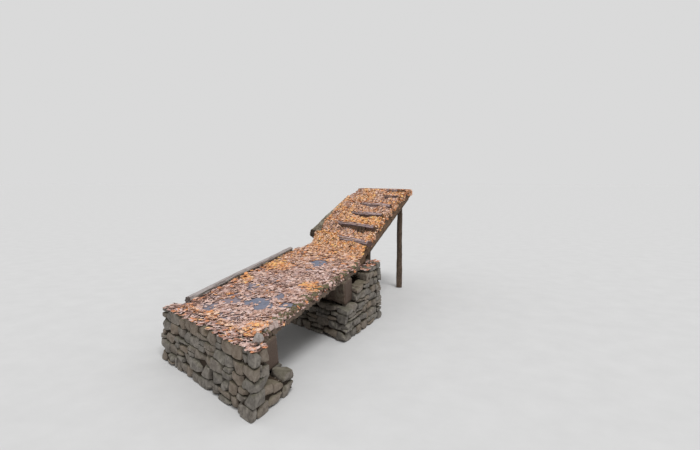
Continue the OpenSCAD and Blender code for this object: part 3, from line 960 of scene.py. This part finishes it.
def scatter(name, points, normals, orange, lift, seed,
            size=(0.040, 0.088), tilt=0.11, dark=0.17, warm=0.0):
    """One mesh of fallen leaves lying on points of the row frame. orange and dark are the shares of such
    leaves, warm is how yellow they all are, lift how far each stands off and tilt how crooked it lies."""
    rng = np.random.default_rng(seed)
    n = len(points)
    lift = np.broadcast_to(lift, n)
    lobed = rng.random(n) < 0.5
    shady = dark * (0.5 + 2.2 * smooth_step(fbm(points, 6.5, seed % 89, 3), 0.0, 0.8))
    tone = np.where(rng.random(n) < shady, rng.uniform(0.0, BROWN_TO, n), rng.uniform(BROWN_TO, PALE_TO, n))
    tone = np.where(rng.random(n) < orange, rng.uniform(ORANGE_FROM, 1.0, n), tone)
    sizes = rng.uniform(*size, n)
    e1 = unit(np.cross(np.where(np.abs(normals[:, [2]]) > 0.9, np.array([[1.0, 0, 0]]), UP), normals))
    e2 = np.cross(normals, e1)
    warm = np.clip(np.broadcast_to(warm, n) + rng.uniform(-0.2, 0.2, n), 0, 1)
    parts = []
    for kind, (shape, polys, rib) in ((False, OVAL), (True, LOBED)):
        sel = np.where(lobed == kind)[0]
        x, y, z = leaf_shapes(rng, shape, len(sel), sizes[sel, None], tilt)
        z = z + lift[sel, None]
        pts = points[sel, None] + x[..., None] * e1[sel, None] + y[..., None] * e2[sel, None]
        pts = pts + z[..., None] * normals[sel, None]
        k = len(shape)
        first = np.arange(len(sel))[:, None] * k
        faces = sum(((first + np.array(poly)).tolist() for poly in polys), [])
        values = np.repeat(tone[sel], k), np.repeat(warm[sel], k), np.tile(rib, len(sel))
        parts.append((pts.reshape(-1, 3), faces, *values))
    verts, faces, tone, warm, rib = joined(parts)
    lo, hi = np.array(cad_box[0]) + 0.001, np.array(cad_box[1]) + (-0.001, -0.001, 0.004)
    add_mesh(name, np.clip(verts, lo, hi), faces, "leaf", tone=tone, warm=warm, rib=rib)


def surface_leaves(name, x, y, height, orange, lift, seed, **more):
    """Leaves on the surface height(x, y), turned to lie along it."""
    reach = 0.012
    slope_x = (height(x + reach, y) - height(x - reach, y)) / (2 * reach)
    slope_y = (height(x, y + reach) - height(x, y - reach)) / (2 * reach)
    normals = unit(xyz(-slope_x, -slope_y, np.ones_like(x)))
    points = place(xyz(x, y, height(x, y) - 0.002))
    scatter(name, points, normals, orange, lift, seed, **more)


def hanging_leaves(name, rng, points, outward, spread, rise, orange, seed, **more):
    """Leaves caught on an upright face that looks to the right or, with outward -1, to the left."""
    n = len(points)
    normals = unit(xyz(outward, rng.normal(0, spread, n), rise + rng.random(n)))
    scatter(name, points, normals, orange, 0.002, seed, tilt=0.45, **more)


# Camera and light
PHOTO_W, PHOTO_H, HORIZON_Y = 700, 450, 180
LENS, SENSOR_W = 27.0, 36.0
EYE = (HALF_W + 2.841, -4.477, DECK_Z + 1.6)
YAW, PITCH = radians(22), atan((PHOTO_H / 2 - HORIZON_Y) / (PHOTO_W * LENS / SENSOR_W))
SKY, SUN, SUN_SPREAD, SUN_WAY = 0.70, 1.75, 22, (-0.38, 0.42, -1.0)
FLOOR, FLOOR_HALF, FLOOR_Z = 0.588, 300.0, -0.002


def aim(ob, way):
    ob.rotation_euler = Vector(way).to_track_quat("-Z", "Y").to_euler()


def make_camera():
    cam = bpy.data.cameras.new("camera")
    cam.lens, cam.sensor_width = LENS, SENSOR_W
    cam.clip_end = 500
    ob = add_object("camera", cam)
    ob.location = Vector(place(EYE).tolist())
    aim(ob, (-sin(YAW) * cos(PITCH), cos(YAW) * cos(PITCH), -sin(PITCH)))
    bpy.context.scene.camera = ob


def make_stage():
    world = bpy.data.worlds.new("studio")
    bpy.context.scene.world = world
    world.use_nodes = True
    background = world.node_tree.nodes["Background"]
    background.inputs["Color"].default_value = (1.0, 1.0, 1.0, 1)
    background.inputs["Strength"].default_value = SKY
    lamp = bpy.data.lights.new("key", "SUN")
    lamp.energy, lamp.angle = SUN, radians(SUN_SPREAD)
    aim(add_object("key", lamp), SUN_WAY)
    me = bpy.data.meshes.new("floor")
    s = FLOOR_HALF
    me.from_pydata([(-s, -s, 0), (s, -s, 0), (s, s, 0), (-s, s, 0)], [], [(0, 1, 2, 3)])
    floor = add_object("floor", me)
    floor.location = (0, 0, FLOOR_Z)
    speckle = new_material("pale_floor").noise(2.5, 4)
    tone = speckle.ramp((0.3, grey(FLOOR - 0.015)), (0.7, grey(FLOOR + 0.015)))
    me.materials.append(tone.finish(0.95, 0.1))
    floor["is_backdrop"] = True
    bpy.context.scene.view_settings.view_transform = "Standard"


make_camera()
make_stage()

# Logs of the deck
KERB_U, KERB_H, KERB_SLIM = -DECK_U + KERB_IN / cos(SKEW), KERB_R - KERB_SEAT, 0.007
near, far = (KERB_FROM, 0, KERB_H - KERB_SLIM), (EDGE_LEN - KERB_TO, 0, KERB_H)
ends = along_deck(KERB_U, *near), along_deck(KERB_U, *far)
add_logs("kerb_log", "kerb", log_mesh("kerb", ends, (KERB_R - KERB_SLIM, KERB_R * 0.72), DECK_N, 3))

pegs = []
for i, l in enumerate(PEG_AT):
    a = KERB_R + PEG_R + 0.012
    ends = along_deck(KERB_U, l, a, 0), along_deck(KERB_U, l, a, 1.1 * KERB_R)
    pegs.append(log_mesh("peg", ends, (PEG_R, PEG_R - 0.003), ALONG_Y, 30 + i))
add_logs("kerb_pegs", "log", *pegs)

STRINGER_RUN = EDGE_LEN * (1 - 2 * EDGE_MARGIN / DECK_L)
for i, share in enumerate(STRINGER_AT):
    u = -DECK_U * (1 - share)
    ends = [along_deck(u, l, 0, -STRINGER_AXIS) for l in (EDGE_MARGIN, EDGE_MARGIN + STRINGER_RUN)]
    thick, thin = STRINGER_R - 0.002, STRINGER_R - STRINGER_TAPER - 0.002
    radii = (thin, thick) if i % 2 else (thick, thin)
    stringer = log_mesh("stringer", ends, radii, DECK_N, 50 + i, flat=(1, STRINGER_R - STRINGER_FLAT))
    add_logs(f"stringer_{i + 1}", "log", stringer)

POLE_UNEVEN, POLE_THINNER = 0.015, 0.0015
poles = []
count = int((DECK_RUN - POLE_D) / POLE_PITCH) + 1
for j in range(count):
    v = (DECK_RUN - (count - 1) * POLE_PITCH) / 2 + j * POLE_PITCH
    mid = -v * tan(EDGE_TURN)
    right = mid + POLE_UNEVEN * sin(radians(137 * j))
    left = mid - DECK_U + POLE_UNEVEN * sin(radians(101 * j))
    r = POLE_D / 2 - POLE_THINNER - POLE_THINNER * sin(radians(77 * j))
    ends = [deck(u, v, -TOPPING_T - POLE_D / 2) for u in (left, right)]
    flat = (-1, POLE_D / 2 - POLE_FLAT)
    poles.append(log_mesh("cross_pole", ends, (r, r * 0.97), DECK_N, 100 + j, flat))
add_logs("cross_poles", "edge_log", *poles)

# Logs of the stair
DARK_STEP = 4
for k in STEPS:
    ends = [place((x, stair_y(x, k * GO_V), STEP_Z[k] - STEP_R)) for x in (STEP_LEFT[k], STEP_RIGHT[k])]
    log = log_mesh("step", ends, (STEP_R - 0.009, STEP_R - 0.001), UP, 200 + k)
    add_logs(f"step_log_{k + 1}", "dark_step" if k == DARK_STEP else "step", log)

EDGING_0 = np.array([EDGING_X, EDGING_Y, EDGING_Z])
EDGING_1 = EDGING_0 + np.array([0, cos(EDGING_RISE), sin(EDGING_RISE)]) * EDGING_L
ends = place(EDGING_0), place(EDGING_1)
add_logs("edging_log", "mossy", log_mesh("edging", ends, (EDGING_R - 0.002, EDGING_R - 0.012), UP, 301))
for which, share in (("front", 0.10), ("back", 0.84)):
    head = EDGING_Z + share * EDGING_L * tan(EDGING_RISE) - 0.032
    ends = upright(EDGING_X, EDGING_Y + share * EDGING_L, 0.0, head)
    post = log_mesh("edging_post", ends, (0.053, 0.051), ALONG_Y, 471 + len(which))
    add_logs(f"edging_post_{which}", "log", post)

stakes = []
for i, u in enumerate(STAKE_AT):
    v = GO_V - STEP_R - STAKE_R - 0.002
    x = (u - GO_V * tan(STEP_SKEW)) * cos(STEP_SKEW) + v * sin(STEP_SKEW)
    ends = upright(x, stair_y(x, v), TREAD_Z[0], TREAD_Z[1] - 0.030)
    stakes.append(log_mesh("stake", ends, (STAKE_R - 0.003, STAKE_R), ALONG_Y, 330 + i))
add_logs("step_stakes", "log", *stakes)

# Squared timber
BALK_SIZE = np.array([DECK_W + 0.08, BALK_T, BALK_H])
BALK_BEVEL, BALK_CELL, BALK_ROUGH = 0.016, 0.028, 0.004


def bevelled_lines(length):
    """Places of grid lines along a side, finer at its ends."""
    half, rim = length / 2, length / 2 - BALK_BEVEL * 0.4
    inner = np.linspace(-half + BALK_BEVEL, half - BALK_BEVEL, max(2, int(length / BALK_CELL)) + 1)
    return np.concatenate([[-half, -rim], inner, [rim, half]])


def add_balk(name, v0, seed):
    """An axe-hewn balk across the deck: its grain runs along local x, its front stands at v0."""
    pts, quads = box_grid([bevelled_lines(length) for length in BALK_SIZE])
    half = BALK_SIZE / 2 - BALK_BEVEL
    core = np.clip(pts, -half, half)
    out = pts - core
    normal = out / np.maximum(np.linalg.norm(out, axis=1)[:, None], 1e-9)
    wane = noise(pts * np.array([1, 0, 0]) + np.sign(pts) * 3.3, 3.2, seed + 2)
    wane = 1 + 0.9 * np.clip(wane, -0.3, 1)[:, None]
    edge = (np.sum(np.abs(out) > 1e-9, axis=1) > 1)[:, None]
    p = core + normal * BALK_BEVEL
    p = np.where(edge, p - normal * BALK_BEVEL * 0.35 * wane, p)
    d = 0.7 * fbm(pts * np.array([0.12, 1, 1]), 38, seed, 3)
    d = BALK_ROUGH * (d + 0.9 * fbm(pts * np.array([0.5, 1, 1]), 7, seed + 4, 2) - 0.6)
    rng = random.Random(seed)
    for i in range(5):
        y0, x0, run = rng.uniform(-0.4, 0.4), rng.uniform(-0.4, 0.4), rng.uniform(0.2, 0.5)
        x0, run = x0 * BALK_SIZE[0], run * BALK_SIZE[0]
        which = 2 if i % 2 else 1
        off = (pts[:, which] - y0 * BALK_SIZE[which] - 0.02 * np.sin(pts[:, 0] * 6 + i)) / 0.012
        d -= 0.006 * np.exp(-(off**2)) * np.clip(1 - np.abs(pts[:, 0] - x0) / run, 0, 1) ** 0.5
    p = p + normal * d[:, None]
    v, h = v0 + BALK_T / 2 + p[:, 1], -BALK_BOTTOM + BALK_H / 2 + p[:, 2]
    u = (p[:, 0] - HALF_W - (v * cos(TILT) - h * sin(TILT)) * sin(SKEW)) / cos(SKEW)
    grain = xyz(p[:, 1], p[:, 2], p[:, 0] + seed * 0.7)
    end = (np.abs(pts[:, 0]) > half[0] + BALK_BEVEL * 0.5).astype(float)
    add_mesh(name + "_timber", deck(u, v, h), quads, "balk", [name], grain=grain, end=end)


add_balk("near_balk", NEAR_BALK_V, 11)
add_balk("far_balk", FAR_FACE / cos(TILT), 12)


# Bearers and posts under the stair
def bed_point(x, y, depth):
    """A point below the bed plane, square to it."""
    return place(np.array([x, y, bed(stair_v(x, y))]) - BED_N * depth)


for side, x in (("left", STAIR_LEFT + BEARER_IN), ("right", STAIR_RIGHT - BEARER_IN)):
    y0 = max(step_line(x) + 0.04, plan_y(x, FAR_BACK + 0.02))
    run = step_line(x) + 6 * STEP_GO - 0.06 - y0
    ends = [bed_point(x, y, BEARER_R + GAP) for y in (y0, y0 + run)]
    radii, flat = (BEARER_R - 0.001, BEARER_R - 0.005), (-1, BEARER_R - BEARER_FLAT)
    add_logs(f"bearer_{side}", "log", log_mesh("bearer", ends, radii, BED_N, 401 + len(side), flat))
    for which, share in (("front", 0.1), ("back", 0.86)):
        name = f"post_{which}_{side}"
        ends = upright(x, y0 + share * run, 0, STEP_Z[5])
        radii = POST_R - 0.001, POST_R - 0.009
        post = add_logs(name, "log", log_mesh("post", ends, radii, ALONG_Y, 430 + len(name)))
        co = vertex_values(post.data, "co")
        seat = bed(stair_v(co[:, 0], co[:, 1] + ORIGIN[1]))
        seat = seat - (2 * BEARER_R - BEARER_FLAT) / cos(BED_TILT)
        co[:, 2] = np.clip(np.minimum(co[:, 2], seat), 0, None)
        post.data.vertices.foreach_set("co", co.ravel())
        post.data.update()


# Footings
def near_ledge(x, y):
    """Top of the near footing: under the balk, and the shoulder before it."""
    v = plan_v(x, y)
    return under(v, BALK_BOTTOM) if v > NEAR_SHOULDER else SHOULDER_Z


def near_block(front):
    return block_quad(-FOOTING_NARROW, FOOTING_WIDE, front, lambda z: NEAR_BACK - TOE * (1 - z / SHOULDER_Z))


NEAR_SEAT, NEAR_HEEL = under(NEAR_FRONT, BALK_BOTTOM), under(NEAR_SHOULDER, BALK_BOTTOM)
near_whole = near_block(lambda z: NEAR_FRONT + TOE * (1 - z / NEAR_SEAT))
near_upper = near_block(lambda z: NEAR_SHOULDER)
add_footing("near_footing", [
    dict(quad=near_whole, levels=[0, 0.125, NEAR_SEAT], ledge=near_ledge),
    dict(quad=near_upper, levels=[NEAR_SEAT, 0.375, 0.50, SHOULDER_Z], depth=0.125, sides=(0, 1, 2)),
    dict(quad=near_upper, levels=[NEAR_HEEL, 0.34, 0.47, SHOULDER_Z], depth=0.125, sides=(3,)),
], 500)

# The ledge that the stringers' ends lie on begins behind the balk and ends at the landing
LEDGE_V, LEDGE_H = FAR_FACE + BALK_T + 0.01, STRINGER_AXIS + STRINGER_R + 0.002
FAR_SEAT, FAR_TOP = under(FAR_FACE - TOE, BALK_BOTTOM), under(FAR_BACK, LANDING_T)


def far_ledge(x, y):
    """Top of the far footing: under the balk, the stringers' ends and the landing."""
    v = plan_v(x, y)
    return under(v, BALK_BOTTOM if v < LEDGE_V else LEDGE_H if v < LANDING_V else LANDING_T)


def far_block(front):
    return block_quad(-FOOTING_WIDE, FOOTING_NARROW, front, lambda z: FAR_BACK + TOE * (1 - z / FAR_TOP))


far_whole = far_block(lambda z: FAR_FACE - TOE * (2 - z / FAR_SEAT))
add_footing("far_footing", [
    dict(quad=far_whole, levels=[0, 0.13, 0.25, 0.37, 0.50], ledge=far_ledge),
    dict(quad=far_block(lambda z: LEDGE_V), levels=[0.50, 0.61, 0.725], ledge=far_ledge, depth=0.16),
    dict(quad=far_block(lambda z: LANDING_V), levels=[0.725, 0.83, 0.94], ledge=far_ledge, depth=0.17),
], 600)

# Loose stones at the near right corner: place, size and turn as in the CAD
CORNER = (
    (0.140, -0.048, 0.100, 0.090, 0.100, 12),
    (-0.132, 0.165, 0.095, 0.070, 0.042, 35),
)
corner_rocks = []
for i, (u, v, w, d, h, turn) in enumerate(CORNER):
    p, q = rock((w, d, h), 706 + i, n=11, rounded=0.30, rough=0.12, cuts=14)
    p[:, :2] *= (1.0 - 0.35 * np.clip(p[:, 2] / h + 0.1, 0, 1))[:, None]
    x, y = turned(p[:, 0], p[:, 1], radians(turn))
    if v > 0:
        corner_rocks.append((deck(x + u, y + v, p[:, 2] + h / 2), q))
    else:
        corner_rocks.append((place(xyz(*plan_xy(x + u, y + v), p[:, 2] + SHOULDER_Z + h / 2)), q))
add_rocks("corner_stone_rocks", corner_rocks, "grey_stone", 3, ["corner_stones"], sharp=22)

# Pale stones caught in the earth of the edge beside them: place along the edge, how far in, length
EDGE_STONES = (0.30, 0.030, 0.105), (0.42, 0.034, 0.120), (0.55, 0.026, 0.085)
edge_rocks = []
for i, (l, inward, size) in enumerate(EDGE_STONES):
    p, q = rock((size * 0.8, size, size * 0.6), 741 + i, n=8, rounded=0.12, rough=0.10)
    edge_rocks.append((along_deck(0, l, -inward, -0.012) + p, q))
add_rocks("edge_stone_rocks", edge_rocks, "pale_stone", 5, sharp=24)


# Topping, landing and treads
def right_offset(t):
    """How far the topping's ragged right edge stands from the deck's edge line, as in the CAD."""
    i = np.arange(EDGE_NOTCHES + 1)
    off = (-24 + 20 * np.sin(np.radians(97 * i)) + 13 * np.sin(np.radians(211 * i + 30))) / 1000
    return np.interp(t * EDGE_NOTCHES, i, off)


def edge_point(t, out, depth):
    """A point off the ragged right edge at the share t of its length."""
    return deck(right_offset(t) + out - t * DECK_L * sin(SKEW), t * DECK_RUN, -depth)


def deck_plan(a, b):
    """Deck u, v of the topping: a from 0 at the near end, b from 0 at the left edge."""
    left_u = -DECK_U + 0.016
    return lerp(left_u, right_offset(a), b) - a * DECK_L * sin(SKEW), a * DECK_RUN


def deck_xy(u, v):
    """Plan x, y of a point of the deck's top."""
    return plan_xy(u, v * cos(TILT))


HEAP_IN, HEAP_Y, HEAP_R, HEAP_H = 0.12, 0.22, 0.15, 0.045


def deck_rise(u, v):
    """The topping's surface above the deck plane: trodden, with a heap of mould at the right corner."""
    x, y = deck_xy(u, v)
    heap = HEAP_H * np.exp(-((x - HALF_W + HEAP_IN) ** 2 + (y - HEAP_Y) ** 2) / HEAP_R**2)
    return heap + 0.004 * fbm(xyz(x, y), 5, 77, 3) - 0.005


slab("deck_topping_earth", "deck_topping", deck_plan, deck_rise, lambda u, v: -TOPPING_T, look="topping",
     grid=(150, 84), seed=81, relief=0.003, side=0.018, rows=5,
     bare_at=lambda u, v: bare(*deck_xy(u, v)), to_row=lambda p: deck(p[:, 0], p[:, 1], p[:, 2]))


def foot_of_riser(x, v, k, z0):
    """Height above z0 of the mould that lies against riser k: to its top at the left, lower under the log."""
    whole = TREAD_Z[k] - z0
    near = np.clip((v - riser_v(k) + MOULD_RUN) / MOULD_RUN, 0, 1)
    row = xyz(x, k)
    wander = 0.03 * noise(row, 6, 300 + k)
    left = np.minimum(whole * near, np.clip(STEP_LEFT[k] + MOULD_OVER + whole + wander - x, 0, None))
    pile = 0.85 + 0.3 * noise(row, 4, 320 + k)
    return np.maximum(left, (whole + TREAD_DROP - MOULD_SHOW[k]) * np.clip(pile, 0.5, 1) * near)


LANDING_LOW = under(plan_v(STAIR_RIGHT, step_line(STAIR_RIGHT)) - MOULD_RUN, 0) - STEP_BURY


def landing_top(x, y):
    """Height of the landing: the deck's slope carried on, and mould against the first riser."""
    own = under(plan_v(x, y), 0)
    foot = foot_of_riser(x, stair_v(x, y), 0, LANDING_LOW)
    return np.where(foot > 0, np.maximum(own, LANDING_LOW + foot), own)


def landing_plan(a, b):
    """Plan x, y of the landing: a from the deck to the first step, b from left to right."""
    x = lerp(STAIR_LEFT, STAIR_RIGHT, b)
    return x, lerp(plan_y(x, LANDING_V), step_line(x) - (STEP_R - STEP_BURY + 0.001) / cos(STEP_SKEW), a)


slab("landing_earth", "landing_bed", landing_plan, landing_top,
     lambda x, y: under(plan_v(x, y), LANDING_T - GAP), look="soil",
     grid=(60, 64), seed=82, relief=0.006, side=0.016, rows=6)


def tread_top(k):
    """The height(x, y) of a tread, with mould against the riser behind it."""
    def height(x, y):
        if k == STEPS[-1]:
            return np.full_like(x, TREAD_Z[k])
        return TREAD_Z[k] + foot_of_riser(x, stair_v(x, y), k + 1, TREAD_Z[k])

    return height


def tread_plan(k):
    """The plan(a, b) of a tread: a from its log to the next, b from left to right."""
    def plan(a, b):
        x = lerp(STAIR_LEFT, STAIR_RIGHT, b)
        return x, stair_y(x, riser_v(k) + (GO_V - 0.001) * a)

    return plan


for k in STEPS:
    slab(f"tread_{k + 1}_earth", f"tread_{k + 1}", tread_plan(k), tread_top(k),
         lambda x, y: bed(stair_v(x, y)), look="soil",
         grid=(36, 72), seed=90 + k, relief=0.007, side=0.024, rows=13, whole_ends=True)

# Moss along the deck's right edge
rng = random.Random(61)
clumps = []
for _ in range(420):
    t = rng.uniform(0.01, 0.99)
    s = rng.uniform(0.020, 0.052)
    size = (s * rng.uniform(0.7, 1.2), s * rng.uniform(0.9, 1.6), s * rng.uniform(0.5, 0.9))
    p, q = rock(size, rng.randrange(10**6), n=4, rounded=0.9, rough=0.22, cuts=0)
    turn, depth, out = rng.uniform(0, 3.1), abs(rng.gauss(0.0, 0.026)) - 0.006, rng.uniform(-0.036, 0.006)
    if t > 0.8 and rng.random() > 0.5:
        continue
    if 0.12 < t < 0.55 and rng.random() < 0.35:
        out, depth = out - rng.uniform(0, 0.13), 0
        p = p * np.array([1, 1, 0.6])
    pts = xyz(*turned(p[:, 0], p[:, 1], turn), p[:, 2]) + edge_point(t, out, min(depth, 0.085))
    pts[:, 0] = np.minimum(pts[:, 0], HALF_W + 0.030)
    clumps.append((pts, q))
add_rocks("edge_moss", clumps, "moss", 5, sharp=None)


# Leaves on the deck: thick by the kerb and the right edge, thin on the bare grit
def deck_leaves(name, count, start, stop, seed):
    """Leaves between two shares of the deck's length. drift, edge, cluster, onward and painted_shade_zone say
    how much a place belongs to the kerb, the right edge, the warm zones, the far end and the near left part,
    where extra dark leaves are painted shade."""
    rng = np.random.default_rng(seed)
    u, v = deck_plan(rng.uniform(start, stop, count), rng.random(count))
    x, y = deck_xy(u, v)
    from_kerb = x + HALF_W - 2 * KERB_IN
    cover = (1 - 0.98 * bare(x, y)) * np.where(fbm(xyz(x, y), 6, 5, 3) > -0.75, 1.0, 0.6)
    keep = (from_kerb > 0.008) & (rng.random(count) < cover)
    u, v, x, y, from_kerb = (w[keep] for w in (u, v, x, y, from_kerb))
    drift, edge = nearness(from_kerb, 0.07), nearness(HALF_W - x, 0.10)
    cluster = zones(x, y, WARM_ZONES, 0.5, 1.3, 73)
    onward = smooth_step(y - x * 0.2, 2.2, 3.8)
    # Painted shade: the near left part of the deck gets more dark leaves, standing in for shadow there.
    painted_shade_zone = smooth_step(-x, 0.15, 0.65) * (1 - smooth_step(y, 1.3, 2.3))
    orange = 0.03 + 0.55 * cluster + 0.22 * drift + 0.24 * onward
    warm = 0.10 + 0.45 * cluster + 0.10 * drift + 0.05 * edge + 0.34 * onward
    lift = rng.random(len(u)) * (0.006 + 0.030 * drift + 0.010 * edge)
    points = deck(u, v, deck_rise(u, v) + 0.001)
    normals = np.broadcast_to(DECK_N, points.shape)
    scatter(name, points, normals, orange, lift, seed, dark=0.19 + 0.17 * painted_shade_zone, warm=warm)


deck_leaves("deck_leaves_near", 4600, 0.0, 0.5, 31)
deck_leaves("deck_leaves_far", 4600, 0.5, 1.0, 37)


def joint_leaves(name, count, at, spread, height, seed):
    """Leaves that have gathered over the joint between two blocks of earth."""
    rng = np.random.default_rng(seed)
    x = -HALF_W + 0.12 + rng.random(count) * (DECK_W - 0.18)
    y = plan_y(x, at + rng.normal(0, spread, count))
    lift = 0.003 + rng.random(count) * 0.012
    surface_leaves(name, x, y, height, orange=0.28, lift=lift, seed=seed + 1, warm=0.4)


joint_leaves("landing_joint_leaves", 400, LANDING_V + 0.006, 0.026,
             lambda x, y: np.maximum(under(plan_v(x, y), 0), landing_top(x, y)), 38)
joint_leaves("shoulder_joint_leaves", 320, -0.004, 0.020, lambda x, y: DECK_Z - 0.002, 41)

# Leaves caught on the ragged right edge
rng = np.random.default_rng(46)
n = 380
t = rng.random(n)
points = edge_point(t, 0.006, rng.random(n) ** 1.4 * 0.075)
hanging_leaves("edge_leaves", rng, points, outward=1.0, spread=0.3, rise=0.25, orange=0.14, seed=32,
               size=(0.030, 0.060), dark=0.3)

# Leaves on the landing and the stair
n = 3000
a, b = rng.random(n), rng.random(n)
surface_leaves("landing_leaves", *landing_plan(a, b), landing_top, orange=0.26 + 0.16 * a,
               lift=rng.random(n) * 0.010, seed=33, size=(0.034, 0.070), tilt=0.18, warm=0.4 + 0.35 * a)


def on_step_log(k, x, across):
    return (x > STEP_LEFT[k]) & (x < STEP_RIGHT[k]) & (across < STEP_R)


def step_surface(k):
    """The top of a tread and of the log before it."""
    def height(x, y):
        across = stair_v(x, y) - k * GO_V
        log_z = STEP_Z[k] - STEP_R + np.sqrt(np.clip(STEP_R**2 - across**2, 0, None))
        own = tread_top(k)(x, y)
        return np.where(on_step_log(k, x, np.abs(across)), np.maximum(own, log_z), own)

    return height


TREAD_RIM, RISER_GAP = 0.015, 0.004
for k in STEPS:
    n = 1900
    x = STAIR_LEFT + TREAD_RIM + rng.random(n) * (STAIR_RIGHT - STAIR_LEFT - 2 * TREAD_RIM)
    v = riser_v(k) + rng.random(n) * (GO_V - RISER_GAP)
    on_log = on_step_log(k, x, v - k * GO_V)
    to_end = np.minimum(x - STEP_LEFT[k], STEP_RIGHT[k] - x)
    strewn = 0.02 if k == DARK_STEP else 0.16
    keep = ~on_log | (rng.random(n) < strewn + 0.6 * nearness(to_end, 0.06))
    x, v = x[keep], v[keep]
    glow = smooth_step(fbm(xyz(x, v), 3.5, 61 + k, 2), -0.5, 0.6)
    surface_leaves(f"tread_{k + 1}_leaves", x, stair_y(x, v), step_surface(k), orange=0.20 + 0.30 * glow,
                   lift=rng.random(len(x)) * 0.012, seed=340 + k, size=(0.030, 0.062), tilt=0.20, dark=0.08,
                   warm=0.34 + 0.7 * glow)

# Leaves that hang over the cut sides of the stair
rng = np.random.default_rng(48)
for side, x0, outward in (("left", STAIR_LEFT, -1), ("right", STAIR_RIGHT, 1)):
    n = 560
    step = rng.integers(0, len(STEPS), n)
    x = x0 - outward * 0.004 + np.zeros(n)
    v = riser_v(step) + rng.random(n) * (GO_V - RISER_GAP)
    y = stair_y(x, v)
    top = np.choose(step, [tread_top(k)(x, y) for k in STEPS])
    points = place(xyz(x, y, top - rng.random(n) ** 1.7 * 0.11))
    hanging_leaves(f"rim_leaves_{side}", rng, points, outward, spread=0.35, rise=0.1, orange=0.30,
                   seed=350 + outward, size=(0.030, 0.064), dark=0.2, warm=0.6)


# Leaves on the upper part of the edging log
def edging_top(x, y):
    """Height of the edging log's back."""
    rise = (y - EDGING_Y) * tan(EDGING_RISE)
    return EDGING_Z + rise + np.sqrt(np.clip((EDGING_R - 0.010) ** 2 - (x - EDGING_X) ** 2, 1e-4, None))


n = 260
share = 0.25 + 0.73 * rng.random(n)
x = EDGING_X + rng.uniform(-0.3, 0.85, n) * EDGING_R
y = EDGING_Y + share * EDGING_L * cos(EDGING_RISE)
surface_leaves("edging_leaves", x, y, edging_top, orange=0.35, lift=rng.random(n) * 0.006, seed=43,
               size=(0.034, 0.066), warm=0.6)

# Leaves on the near footing's shoulder and beside the landing
SHOULDER_RIM = 0.02
width = FOOTING_NARROW + FOOTING_WIDE - 2 * SHOULDER_RIM
n = 480
x = -FOOTING_NARROW + SHOULDER_RIM + rng.random(n) * width
y = plan_y(x, NEAR_BACK + 0.01 + rng.random(n) * 0.22)
surface_leaves("shoulder_leaves", x, y, lambda x, y: SHOULDER_Z, orange=0.2,
               lift=rng.random(n) * 0.012, seed=35)
x = -FOOTING_WIDE + SHOULDER_RIM + rng.random(800) * width
x = x[(x < STAIR_LEFT) | (x > STAIR_RIGHT)]
n = len(x)
y = plan_y(x, LANDING_V + SHOULDER_RIM + rng.random(n) * (FAR_BACK - LANDING_V - 2 * SHOULDER_RIM))
surface_leaves("far_shoulder_leaves", x, y, lambda x, y: under(plan_v(x, y), LANDING_T), orange=0.3,
               lift=rng.random(n) * 0.012, seed=36)

after = [list(point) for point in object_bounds()]
sizes = {"cad": cad_box, "visual": after}
{key: [[float(c) for c in point] for point in box] for key, box in sizes.items()}
